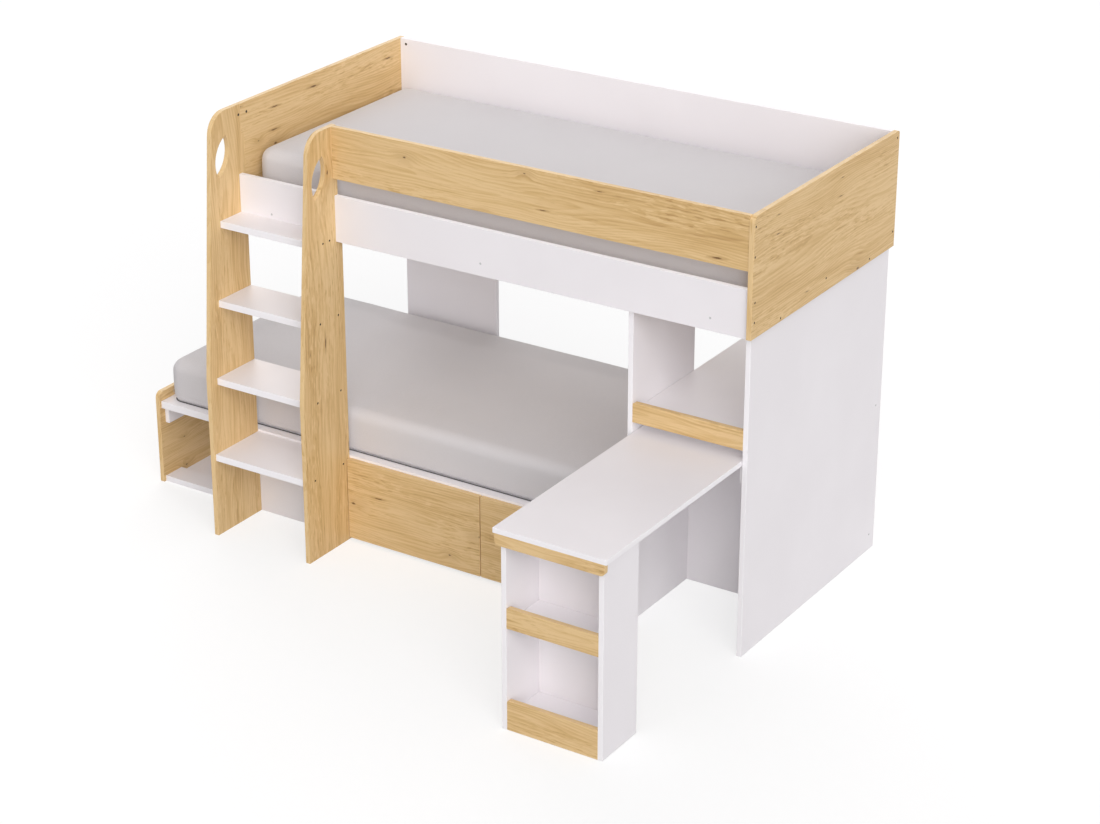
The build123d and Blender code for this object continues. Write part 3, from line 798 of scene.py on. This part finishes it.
def run_tree(piece: bpy.types.Object, tree: bpy.types.NodeTree, values: dict[str, Any]) -> None:
    """Run a geometry tree on an object and keep the result as its plain mesh.

    Args:
        piece: the object that holds what the tree starts from.
        tree: the tree.
        values: the values of the tree's inputs, by their names.
    """
    modifier = piece.modifiers.new(tree.name, "NODES")
    modifier.node_group = tree
    for item in tree.interface.items_tree:
        if item.in_out == "INPUT" and item.name in values:
            modifier[item.identifier] = values[item.name]
    plain_mesh(piece)


@dataclass
class Mattress:
    """A foam mattress in a woven cover, simulated as cloth under a light inner pressure."""

    node: str
    cell: float = 26 * MM
    corner: float = 55 * MM
    border_shares: tuple[float, ...] = (0.0, 0.16, 0.34, 0.55, 0.77, 1.0)
    top_round: float = 42 * MM
    bottom_round: float = 24 * MM
    crown: float = 6 * MM
    draw_in: float = 4 * MM
    slack: float = 2.5 * MM
    most_swell: float = 5 * MM
    side_swell: float = 0.6
    top_level: float = 0.8
    ripple: float = 1.1 * MM
    waves: tuple[tuple[float, float, float, float], ...] = (
        (1.0, 6.1, 2.3, 0.0),
        (0.7, -3.1, 11.3, 1.7),
        (0.5, 17.9, 13.7, 0.6),
    )
    pressure: float = 4.0
    cloth_quality: int = 6
    cloth_mass: float = 0.3
    frames: int = 20
    line_step: float = 40 * MM
    corner_steps: int = 8
    stitch_pitch: float = 9 * MM
    stitch_length: float = 6 * MM
    stitch_thickness: float = 1.3 * MM
    seam_height: float = 34 * MM
    seam_inset: float = -1.4 * MM
    # Size and place of the dark cord at the cover's foot, which is painted shadow along the contact line.
    shadow_line_radius: float = 2.2 * MM
    shadow_line_inset: float = 10 * MM

    def __post_init__(self) -> None:
        """Take the mattress's place from its solid."""
        self.low, self.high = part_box(self.node)
        self.middle = (self.low + self.high) / 2
        self.half = (self.high - self.low) / 2 - Vector((self.slack, self.slack, 0))
        self.bottom = self.low.z
        self.base = Vector((self.middle.x, self.middle.y, self.bottom))
        self.height = self.high.z - self.low.z - self.crown

    def lines(self, half: float) -> list[float]:
        """Space grid lines across the mattress, closer together near the borders.

        Args:
            half: half the mattress's width in that direction.

        Returns:
            The lines' places, from one border to the other.
        """
        band = [half - self.corner * share for share in self.border_shares]
        count = max(1, round(2 * band[-1] / self.cell))
        inner = [-band[-1] + 2 * band[-1] * i / count for i in range(count + 1)]
        return [-value for value in band[:-1]] + inner + band[-2::-1]

    def drawn_in(self, flat: Vector) -> Vector:
        """Pull a point of the plan in where it lies on a side, most between the corners.

        Args:
            flat: the point, from the mattress's middle.

        Returns:
            The point that was pulled in.
        """
        width_share = min(1.0, abs(flat.y) / self.half.y)
        length_share = min(1.0, abs(flat.x) / self.half.x)
        x = flat.x - math.copysign(self.draw_in, flat.x) * length_share ** 8 * (1 - width_share ** 2)
        y = flat.y - math.copysign(self.draw_in, flat.y) * width_share ** 8 * (1 - length_share ** 2)
        return Vector((x, y))

    def rounded(self, x: float, y: float, z: float) -> Vector:
        """Move a point of the plain box onto the mattress's rounded form.

        Args:
            x: the point's place along the mattress, from its middle.
            y: its place across the mattress, from its middle.
            z: its height above the mattress's underside.

        Returns:
            The point on the rounded form, still measured from the middle of the underside.
        """
        inner = Vector((self.half.x - self.corner, self.half.y - self.corner))
        core = Vector((max(-inner.x, min(inner.x, x)), max(-inner.y, min(inner.y, y))))
        away = Vector((x, y)) - core
        reach = max(abs(away.x), abs(away.y))
        outward = away.normalized() if reach > 0 else Vector((0.0, 0.0))
        inset = self.corner - reach
        rise = z
        for round_over, depth, sign in (
            (self.top_round, self.height - z, 1),
            (self.bottom_round, z, -1),
        ):
            if depth >= round_over or (depth > 0 and inset > 0) or reach == 0:
                continue
            share = inset / round_over if depth <= 0 else -depth / round_over
            if share >= 1:
                continue
            angle = math.pi / 4 * (1 + share)
            inset = round_over * (1 - math.cos(angle))
            edge = self.height - round_over if sign > 0 else round_over
            rise = edge + sign * round_over * math.sin(angle)
        flat = core + outward * (self.corner - inset) if reach > 0 else core
        width_share = flat.y / self.half.y
        length_share = flat.x / self.half.x
        level = max(0.0, min(1.0, rise / self.height))
        bulge = 4 * level * (1 - level)
        flat = self.drawn_in(flat)
        flat += outward * (self.slack * self.side_swell * bulge if inset < self.corner * 0.5 else 0.0)
        if level > 0.75:
            rise += self.crown * (1 - width_share ** 2) * (1 - length_share ** 6)
        return Vector((flat.x, flat.y, rise))

    def shell(self) -> bpy.types.Mesh:
        """Lay the closed cover before it is filled, as a grid of quads on the rounded form.

        Returns:
            The cover's mesh.
        """
        xs = self.lines(self.half.x)
        ys = self.lines(self.half.y)
        lower = [self.bottom_round * share for share in (0.0, 0.5, 1.0)]
        upper = [self.height - self.top_round * share for share in (1.0, 0.75, 0.5, 0.25, 0.0)]
        span = upper[0] - lower[-1]
        zs = lower + [lower[-1] + span * share for share in (0.2, 0.4, 0.6, 0.8)] + upper
        build = bmesh.new()
        points: dict[tuple[int, int, int], bmesh.types.BMVert] = {}

        def point(i: int, j: int, k: int) -> bmesh.types.BMVert:
            """The vertex at a place in the grid, made when it is first asked for."""
            if (i, j, k) not in points:
                points[(i, j, k)] = build.verts.new(self.base + self.rounded(xs[i], ys[j], zs[k]))
            return points[(i, j, k)]

        def quad(flip: bool, *corners: tuple[int, int, int]) -> None:
            """A face over four places of the grid, turned round if it has to be."""
            ring = [point(*corner) for corner in corners]
            build.faces.new(ring[::-1] if flip else ring)

        last_x, last_y, last_z = len(xs) - 1, len(ys) - 1, len(zs) - 1
        for i in range(last_x):
            for j in range(last_y):
                for k, flip in ((0, True), (last_z, False)):
                    quad(flip, (i, j, k), (i + 1, j, k), (i + 1, j + 1, k), (i, j + 1, k))
        for k in range(last_z):
            for i in range(last_x):
                for j, flip in ((0, False), (last_y, True)):
                    quad(flip, (i, j, k), (i + 1, j, k), (i + 1, j, k + 1), (i, j, k + 1))
            for j in range(last_y):
                for i, flip in ((0, True), (last_x, False)):
                    quad(flip, (i, j, k), (i, j + 1, k), (i, j + 1, k + 1), (i, j, k + 1))
        bmesh.ops.recalc_face_normals(build, faces=build.faces)
        return mesh_from(build, f"{self.node}_cover")

    def fill(self, piece: bpy.types.Object) -> None:
        """Press the cover out from inside as cloth, and keep the result within its room.

        Args:
            piece: the cover, whose mesh takes the simulated shape.
        """
        start = [vertex.co.copy() for vertex in piece.data.vertices]
        cloth = piece.modifiers.new("cover", "CLOTH")
        cloth.settings.quality = self.cloth_quality
        cloth.settings.mass = self.cloth_mass
        cloth.settings.use_pressure = True
        cloth.settings.uniform_pressure_force = self.pressure
        cloth.settings.effector_weights.gravity = 0.0
        cloth.point_cache.frame_start = 1
        cloth.point_cache.frame_end = self.frames
        for number in range(1, self.frames + 1):
            bpy.context.scene.frame_set(number)
        graph = bpy.context.evaluated_depsgraph_get()
        moved = [vertex.co.copy() for vertex in piece.evaluated_get(graph).data.vertices]
        piece.modifiers.clear()
        bpy.context.scene.frame_set(1)
        for vertex, old, new in zip(piece.data.vertices, start, moved):
            swell = new - old
            if swell.length > self.most_swell:
                swell *= self.most_swell / swell.length
            vertex.co = old + swell

    def settle(self, piece: bpy.types.Object) -> None:
        """Add the slight unevenness of foam, and keep every point inside the mattress's box.

        Args:
            piece: the cover, whose mesh is changed.
        """
        for vertex in piece.data.vertices:
            x, y, z = vertex.co
            if z > self.bottom + self.height * self.top_level:
                wave = sum(high * math.sin(a * x + b * y + start) for high, a, b, start in self.waves)
                vertex.co.z += self.ripple * wave * 0.5
            else:
                side = math.sin(8.3 * x + 9.1 * y) * (z - self.bottom) / self.height
                away = Vector((x - self.middle.x, y - self.middle.y, 0.0)).normalized()
                vertex.co += away * self.ripple * side
            for axis in range(3):
                vertex.co[axis] = max(self.low[axis], min(self.high[axis], vertex.co[axis]))

    def cover(self) -> bpy.types.Object:
        """Make the filled cover.

        Returns:
            The cover's object.
        """
        piece = new_piece(f"{self.node}_cover", self.shell())
        self.fill(piece)
        self.settle(piece)
        smooth = piece.modifiers.new("smooth", "SUBSURF")
        smooth.levels = 1
        smooth.render_levels = 1
        plain_mesh(piece)
        for vertex in piece.data.vertices:
            vertex.co.z = max(self.bottom, vertex.co.z)
        for polygon in piece.data.polygons:
            polygon.use_smooth = True
        piece.data.materials.append(CLOTH.material())
        return piece

    def outline(self, name: str, height: float, inset: float) -> bpy.types.Object:
        """Draw a closed line round the mattress.

        Args:
            name: the name of the line's object.
            height: the line's height above the mattress's underside.
            inset: how far the line stays inside the widest outline.

        Returns:
            The object that holds the line.
        """
        corners = []
        for sx, sy in ((1, 1), (-1, 1), (-1, -1), (1, -1)):
            centre = Vector((sx * (self.half.x - self.corner), sy * (self.half.y - self.corner)))
            start = math.atan2(sy, sx) - math.pi / 4
            for number in range(self.corner_steps + 1):
                angle = start + math.pi / 2 * number / self.corner_steps
                corners.append(centre + Vector((math.cos(angle), math.sin(angle))) * (self.corner - inset))
        build = bmesh.new()
        verts = []
        for here, there in zip(corners, corners[1:] + corners[:1]):
            count = max(1, round((there - here).length / self.line_step))
            for number in range(count):
                flat = self.drawn_in(here.lerp(there, number / count))
                verts.append(build.verts.new(self.base + Vector((flat.x, flat.y, height))))
        for here, there in zip(verts, verts[1:] + verts[:1]):
            build.edges.new((here, there))
        return new_piece(name, mesh_from(build, name))

    @staticmethod
    def sew(g: Graph, given: Any) -> None:
        """Sew stitches along a closed line.

        Args:
            g: the tree's graph.
            given: the tree's own inputs.
        """
        line = g.out("GeometryNodeMeshToCurve", {0: given["Line"]})
        spacing = {"Curve": line, "Length": given["Pitch"]}
        spaced = g.out("GeometryNodeResampleCurve", spacing, mode="LENGTH")
        tangent = g.out("GeometryNodeInputTangent")
        turn = g.out("FunctionNodeAlignRotationToVector", {"Vector": tangent}, axis="X")
        thread = g.out("GeometryNodeMeshUVSphere", {"Segments": 6, "Rings": 4, "Radius": 0.5})
        size = g.join(given["Length"], given["Thickness"], given["Thickness"])
        placed = {"Points": spaced, "Instance": thread, "Rotation": turn, "Scale": size}
        real = g.out("GeometryNodeRealizeInstances", {0: g.out("GeometryNodeInstanceOnPoints", placed)})
        soft = g.out("GeometryNodeSetShadeSmooth", {0: real})
        dressed = g.out("GeometryNodeSetMaterial", {"Geometry": soft, "Material": given["Thread"]})
        g.add("NodeGroupOutput", {0: dressed})

    def stitches(self) -> bpy.types.Object:
        """Sew the seam that closes the cover, low on its sides.

        Returns:
            The stitches' object.
        """
        inputs = {"Line": "Geometry", "Pitch": "Float", "Length": "Float", "Thickness": "Float"}
        inputs["Thread"] = "Material"
        outputs = {"Stitches": "Geometry"}
        tree = shared_group("seam_stitches", "GeometryNodeTree", inputs, outputs, self.sew)
        piece = self.outline(f"{self.node}_stitches", self.seam_height, self.seam_inset)
        sizes = {
            "Pitch": self.stitch_pitch,
            "Length": self.stitch_length,
            "Thickness": self.stitch_thickness,
            "Thread": CLOTH.material(),
        }
        run_tree(piece, tree, sizes)
        return piece

    @staticmethod
    def roll(g: Graph, given: Any) -> None:
        """Run a round tube along a closed line; it carries the painted shadow line at the cover's foot.

        Args:
            g: the tree's graph.
            given: the tree's own inputs.
        """
        line = g.out("GeometryNodeMeshToCurve", {0: given["Line"]})
        ring = g.out("GeometryNodeCurvePrimitiveCircle", {"Resolution": 10, "Radius": given["Radius"]})
        tube = g.out("GeometryNodeCurveToMesh", {"Curve": line, "Profile Curve": ring})
        soft = g.out("GeometryNodeSetShadeSmooth", {0: tube})
        real = g.out("GeometryNodeRealizeInstances", {0: soft})
        dressed = g.out("GeometryNodeSetMaterial", {"Geometry": real, "Material": given["Cloth"]})
        g.add("NodeGroupOutput", {0: dressed})

    def welt(self) -> bpy.types.Object:
        """Run a dark cord round the foot of the cover as painted shadow, darkening the line where the cover
        meets what it lies on.

        Returns:
            The painted shadow line's object.
        """
        inputs = {"Line": "Geometry", "Radius": "Float", "Cloth": "Material"}
        tree = shared_group("shadow_line_tube", "GeometryNodeTree", inputs, {"Welt": "Geometry"}, self.roll)
        # The dark cord is painted shadow, laid where the cover meets what it lies on.
        piece = self.outline(f"{self.node}_welt", self.shadow_line_radius, self.shadow_line_inset)
        run_tree(piece, tree, {"Radius": self.shadow_line_radius, "Cloth": PAINTED_SHADOW_CLOTH.material()})
        return piece

    def make(self) -> None:
        """Make the mattress in place of its plain solid."""
        cover = self.cover()
        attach(cover, "bed")
        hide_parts(self.node)
        # The stitches are a real seam; the second piece is the dark cord of painted shadow at the cover's
        # foot.
        for seam_and_shadow_piece in (self.stitches(), self.welt()):
            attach(seam_and_shadow_piece, "bed")
        log.info("%s: cover with %d faces", self.node, len(cover.data.polygons))


@dataclass
class BoardScrews:
    """The countersunk screws that hold the boards, each with a hexagon socket in its head."""

    node: str = "board_screws"
    head_radius: float = 4.2 * MM
    head_height: float = 3.0 * MM
    shank_radius: float = 2.5 * MM
    socket_radius: float = 2.3 * MM
    socket_depth: float = 1.9 * MM
    sides: int = 28
    white_boards: tuple[str, ...] = ("upper_side_rail", "right_side_panel")

    def in_white(self, place: Vector) -> bool:
        """Tell whether a screw sits in a white board, where the screws are zinc plated.

        Args:
            place: the middle of its head's top.

        Returns:
            True if it does.
        """
        for node in self.white_boards:
            low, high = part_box(node)
            if all(low[i] - MM <= place[i] <= high[i] + MM for i in range(3)):
                return True
        return False

    def places(self) -> list[tuple[Vector, Vector, float]]:
        """Read every screw's place from its solid.

        Returns:
            For each screw the middle of its head's top, the way the head faces, and its length.
        """
        build = bmesh.new()
        build.from_mesh(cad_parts[self.node].data)
        bmesh.ops.remove_doubles(build, verts=build.verts, dist=0.01 * MM)
        left = set(build.verts)
        found = []
        while left:
            first = min(left, key=lambda vertex: vertex.index)
            island = {first}
            edge = [first]
            while edge:
                vertex = edge.pop()
                for link in vertex.link_edges:
                    other = link.other_vert(vertex)
                    if other not in island:
                        island.add(other)
                        edge.append(other)
            left -= island
            found.append(self.measure([vertex.co for vertex in island]))
        build.free()
        return found

    def measure(self, points: Sequence[Vector]) -> tuple[Vector, Vector, float]:
        """Find one screw's head, facing and length.

        Args:
            points: the points of its solid.

        Returns:
            The middle of its head's top, the way the head faces, and its length.
        """
        low = Vector([min(point[i] for point in points) for i in range(3)])
        high = Vector([max(point[i] for point in points) for i in range(3)])
        size = high - low
        axis = max(range(3), key=lambda i: size[i])
        middle = (low + high) / 2
        facing = Vector((0.0, 0.0, 0.0))
        wide = [
            point[axis] for point in points if self.off_axis(point - middle, axis) > 0.9 * self.head_radius
        ]
        facing[axis] = 1.0 if sum(wide) / len(wide) > middle[axis] else -1.0
        top = middle.copy()
        top[axis] = high[axis] if facing[axis] > 0 else low[axis]
        return top, facing, size[axis]

    @staticmethod
    def off_axis(offset: Vector, axis: int) -> float:
        """How far a point is from a screw's axis."""
        return math.hypot(*(offset[i] for i in range(3) if i != axis))

    @staticmethod
    def drive(g: Graph, given: Any) -> None:
        """Set a head with its socket, and a shank, at every point.

        Args:
            g: the tree's graph.
            given: the tree's own inputs.
        """
        points, sides, height = given["Points"], given["Sides"], given["Head Height"]
        read = "GeometryNodeInputNamedAttribute"
        facing = g.out(read, {"Name": "facing"}, data_type="FLOAT_VECTOR")
        length = g.out(read, {"Name": "length"}, data_type="FLOAT")
        plated = g.out(read, {"Name": "plated"}, data_type="BOOLEAN")
        turn = g.out("FunctionNodeAlignRotationToVector", {"Vector": facing}, axis="Z")
        size = {"Vertices": sides, "Radius": given["Head Radius"], "Depth": height}
        head = g.out("GeometryNodeMeshCylinder", size)
        sink = g.join(0.0, 0.0, g.times(height, -0.5))
        head = g.out("GeometryNodeTransform", {"Geometry": head, "Translation": sink})
        tall = g.times(given["Socket Depth"], 2.0)
        size = {"Vertices": 6, "Radius": given["Socket Radius"], "Depth": tall}
        socket = g.out("GeometryNodeMeshCylinder", size)
        bored = g.out("GeometryNodeMeshBoolean", {0: head, 1: socket}, operation="DIFFERENCE")
        placed = {"Points": points, "Instance": bored, "Rotation": turn}
        heads = g.out("GeometryNodeInstanceOnPoints", placed)
        size = {"Vertices": sides, "Radius": given["Shank Radius"], "Depth": 1.0}
        shank = g.out("GeometryNodeMeshCylinder", size)
        shank = g.out("GeometryNodeTransform", {"Geometry": shank, "Translation": (0.0, 0.0, -0.5)})
        shift = g.vector("SCALE", facing)
        g.put(shift.node.inputs["Scale"], g.times(height, -1.0))
        lowered = g.out("GeometryNodeSetPosition", {"Geometry": points, "Offset": shift})
        reach = g.join(1.0, 1.0, g.math("SUBTRACT", length, height))
        placed = {"Points": lowered, "Instance": shank, "Rotation": turn, "Scale": reach}
        shanks = g.out("GeometryNodeInstanceOnPoints", placed)
        both = g.add("GeometryNodeJoinGeometry")
        for part in (heads, shanks):
            g.put(both.inputs[0], part)
        real = g.out("GeometryNodeRealizeInstances", {0: both.outputs[0]})
        dressed = g.out("GeometryNodeSetMaterial", {"Geometry": real, "Material": given["Steel"]})
        zinc = {"Geometry": dressed, "Selection": plated, "Material": given["Zinc"]}
        g.add("NodeGroupOutput", {0: g.out("GeometryNodeSetMaterial", zinc)})

    def make(self) -> None:
        """Make the screws in place of their plain solids."""
        places = self.places()
        mesh = bpy.data.meshes.new("socket_screws")
        mesh.from_pydata([place[0] for place in places], [], [])
        facing = mesh.attributes.new("facing", "FLOAT_VECTOR", "POINT")
        facing.data.foreach_set("vector", [part for place in places for part in place[1]])
        length = mesh.attributes.new("length", "FLOAT", "POINT")
        length.data.foreach_set("value", [place[2] for place in places])
        plated = mesh.attributes.new("plated", "BOOLEAN", "POINT")
        plated.data.foreach_set("value", [self.in_white(place[0]) for place in places])
        piece = new_piece("socket_screws", mesh)
        sizes = {
            "Head Radius": self.head_radius,
            "Head Height": self.head_height,
            "Shank Radius": self.shank_radius,
            "Socket Radius": self.socket_radius,
            "Socket Depth": self.socket_depth,
        }
        inputs = {"Points": "Geometry", **{name: "Float" for name in sizes}}
        inputs.update({"Sides": "Int", "Steel": "Material", "Zinc": "Material"})
        outputs = {"Screws": "Geometry"}
        tree = shared_group("socket_screws", "GeometryNodeTree", inputs, outputs, self.drive)
        finishes = {"Steel": SCREW_STEEL.material(), "Zinc": ZINC.material()}
        run_tree(piece, tree, {**sizes, "Sides": self.sides, **finishes})
        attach(piece, "bed")
        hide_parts(self.node)
        log.info("%d screws with %d faces", len(places), len(piece.data.polygons))


@dataclass
class LowerBed:
    """The low bed with its niche, deck and mattress."""

    end_panel: Board = Board("lower_left_end_panel", Axis.Y, Axis.X, 2.3)

    def make(self) -> None:
        """Dress the boards and make the mattress."""
        dress_oak([self.end_panel])
        dress_white(["lower_right_end_panel", "ladder_bay_dividers", "centre_divider", "deck_cleats"], Axis.X)
        dress_white(["lower_back_panel", "ladder_bay_front_panel"], Axis.Y)
        dress_white(["niche_bottom", "niche_front_rail", "deck_boards"], Axis.Z)
        Mattress("lower_mattress").make()


@dataclass
class UpperBed:
    """The upper bed: end panels, rails, back, slats and mattress."""

    left_end: Board = Board("left_end_panel", Axis.Y, Axis.X, 5.9)
    right_end: Board = Board("right_end_panel", Axis.Y, Axis.X, 1.1)
    guard: Board = Board("guard_rail", Axis.X, Axis.Y, 3.4)

    def make(self) -> None:
        """Dress the boards and slats and make the mattress."""
        dress_oak([self.left_end, self.right_end, self.guard])
        dress_white(["upper_back_panel", "upper_side_rail", "rear_post_board"], Axis.Y)
        dress("slat_bearers", PINE.material(Axis.X))
        dress("upper_slats", PINE.material(Axis.Y))
        dress("connecting_bolts", SCREW_STEEL.material())
        Mattress("upper_mattress").make()


@dataclass
class Ladder:
    """Two oak stiles and four white steps."""

    stiles: tuple[Board, Board] = (
        Board("ladder_left_stile", Axis.Z, Axis.X, 4.2),
        Board("ladder_right_stile", Axis.Z, Axis.X, 7.7),
    )
    steps: int = 4

    def make(self) -> None:
        """Dress the stiles and the steps."""
        dress_oak(self.stiles)
        dress_white([f"ladder_step_{number + 1}" for number in range(self.steps)], Axis.Z)


@dataclass
class Tower:
    """The tower with its shelf and the runners that the desk slides on."""

    lip: Board = Board("tower_shelf_lip", Axis.X, Axis.Y, 6.6)

    def make(self) -> None:
        """Dress the tower's boards."""
        dress_oak([self.lip])
        dress_white(["right_side_panel", "tower_panel", "desk_runners"], Axis.X)
        dress_white(["tower_rear_panel", "bay_back_panel"], Axis.Y)
        dress_white(["tower_shelf"], Axis.Z)


@dataclass
class RollingDesk:
    """The desk on castors, with oak lips on its top and on the shelves in its leg."""

    lips: tuple[Board, ...] = (
        Board("desk_front_lip", Axis.X, Axis.Y, 8.3),
        Board("desk_shelf_lip", Axis.X, Axis.Y, 9.5),
        Board("desk_base_lip", Axis.X, Axis.Y, 10.4),
    )

    def make(self) -> None:
        """Dress the desk's boards and castors."""
        dress_oak(self.lips)
        dress_white(["desk_top", "desk_leg_shelf", "desk_leg_floor"], Axis.Z)
        dress_white(["desk_leg_sides"], Axis.X)
        dress_white(["desk_leg_back"], Axis.Y)
        dress_castors("desk")


@dataclass
class BedDrawer:
    """A drawer under the low bed: an oak front, a white box and castors."""

    name: str
    seed: float

    def make(self) -> None:
        """Dress the drawer's boards and castors."""
        dress_oak([Board(f"{self.name}_front", Axis.X, Axis.Y, self.seed)])
        dress_white([f"{self.name}_sides"], Axis.X)
        dress_white([f"{self.name}_back"], Axis.Y)
        dress_white([f"{self.name}_bottom"], Axis.Z)
        dress_castors(self.name)


@dataclass(frozen=True)
class Lamp:
    """A soft lamp far away: the way to it, its strength and how far its light spreads."""

    name: str
    towards: Triple
    strength: float
    spread: float = 50.0
    shadow: bool = True


@dataclass
class Studio:
    """A white studio: a pale floor, even light from all round and soft lamps."""

    camera_place: Triple = (4.9870, -7.0526, 4.4426)
    camera_yaw: float = 32.808
    camera_pitch: float = 24.210
    focal_pixels: float = 2722.4
    picture_width: float = 1100.0
    sensor: float = 36.0
    far_clip: float = 200.0
    floor_reach: float = 60.0
    floor_white: float = 0.42
    floor_glow: float = 0.59
    ambient: float = 0.37
    ambient_colour: Colour = (1.0, 0.985, 1.0)
    white: Colour = (1.0, 1.0, 1.0)
    lamps: tuple[Lamp, ...] = (
        Lamp("front_lamp", (0.66, -0.67, 0.34), 1.80),
        Lamp("fill_lamp", (0.45, -0.55, 0.70), 0.85, shadow=False),
        Lamp("sky_lamp", (0.20, -0.35, 0.91), 0.40, spread=110.0),
        Lamp("back_lamp", (-0.50, 0.66, 0.56), 0.90),
    )

    def camera(self) -> None:
        """Stand the camera where the bed is seen from above its front right corner."""
        lens = bpy.data.cameras.new("camera")
        lens.sensor_width = self.sensor
        lens.lens = self.focal_pixels / self.picture_width * self.sensor
        lens.clip_end = self.far_clip
        camera = new_piece("camera", lens)
        camera.location = self.camera_place
        camera.rotation_euler = (
            math.radians(90 - self.camera_pitch),
            0.0,
            math.radians(self.camera_yaw),
        )
        bpy.context.scene.camera = camera

    @staticmethod
    def seen(g: Graph) -> Any:
        """Tell the rays that come straight from the camera, a mirror or glass.

        Args:
            g: the graph to add to.

        Returns:
            1 on those rays and 0 on all others.
        """
        rays = g.add("ShaderNodeLightPath").outputs
        first = g.math("MAXIMUM", rays["Is Camera Ray"], rays["Is Glossy Ray"])
        return g.math("MAXIMUM", first, rays["Is Transmission Ray"])

    def floor(self) -> None:
        """Lay a pale floor that keeps the bed's shadow."""
        build = bmesh.new()
        bmesh.ops.create_grid(build, x_segments=1, y_segments=1, size=self.floor_reach)
        piece = new_piece("floor", mesh_from(build, "floor"))
        piece.data.materials.append(shared_material("pale_floor", self.paint_floor))

    def paint_floor(self, g: Graph) -> None:
        """Paint the floor pale, and white where it is seen without a shadow.

        Args:
            g: the material's graph.
        """
        matt = g.out("ShaderNodeBsdfDiffuse", {"Color": opaque((self.floor_white,) * 3)})
        glow = g.out("ShaderNodeEmission", {"Strength": g.times(self.seen(g), self.floor_glow)})
        both = g.out("ShaderNodeAddShader", {0: matt, 1: glow})
        g.add("ShaderNodeOutputMaterial", {"Surface": both})

    def light(self) -> None:
        """Light the bed evenly from all round and with the soft lamps."""
        world = bpy.data.worlds.new("studio")
        bpy.context.scene.world = world
        world.use_nodes = True
        g = Graph(world.node_tree)
        even = {"Color": opaque(self.ambient_colour), "Strength": self.ambient}
        even = g.out("ShaderNodeBackground", even)
        white = g.out("ShaderNodeBackground", {"Color": opaque(self.white), "Strength": 1.0})
        mixed = g.out("ShaderNodeMixShader", {0: self.seen(g), 1: even, 2: white})
        g.add("ShaderNodeOutputWorld", {"Surface": mixed})
        for lamp in self.lamps:
            light = bpy.data.lights.new(lamp.name, "SUN")
            light.energy = lamp.strength
            light.angle = math.radians(lamp.spread)
            light.use_shadow = lamp.shadow
            piece = new_piece(lamp.name, light)
            piece.rotation_euler = Vector(lamp.towards).to_track_quat("Z", "Y").to_euler()

    def make(self) -> None:
        """Set up the floor, the light, the camera and the plain view."""
        self.floor()
        self.light()
        self.camera()
        bpy.context.scene.view_settings.view_transform = "Standard"


def main() -> None:
    """Dress the bed, build what the solids leave to this script, and light it."""
    logging.basicConfig(level=logging.INFO, format="%(message)s")
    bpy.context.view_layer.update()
    Studio().make()
    for part in (
        LowerBed(),
        UpperBed(),
        Ladder(),
        Tower(),
        RollingDesk(),
        BedDrawer("left_drawer", 11.8),
        BedDrawer("right_drawer", 13.1),
        BoardScrews(),
    ):
        part.make()
        log.info("%s made", type(part).__name__)


if __name__ == "__main__":
    main()
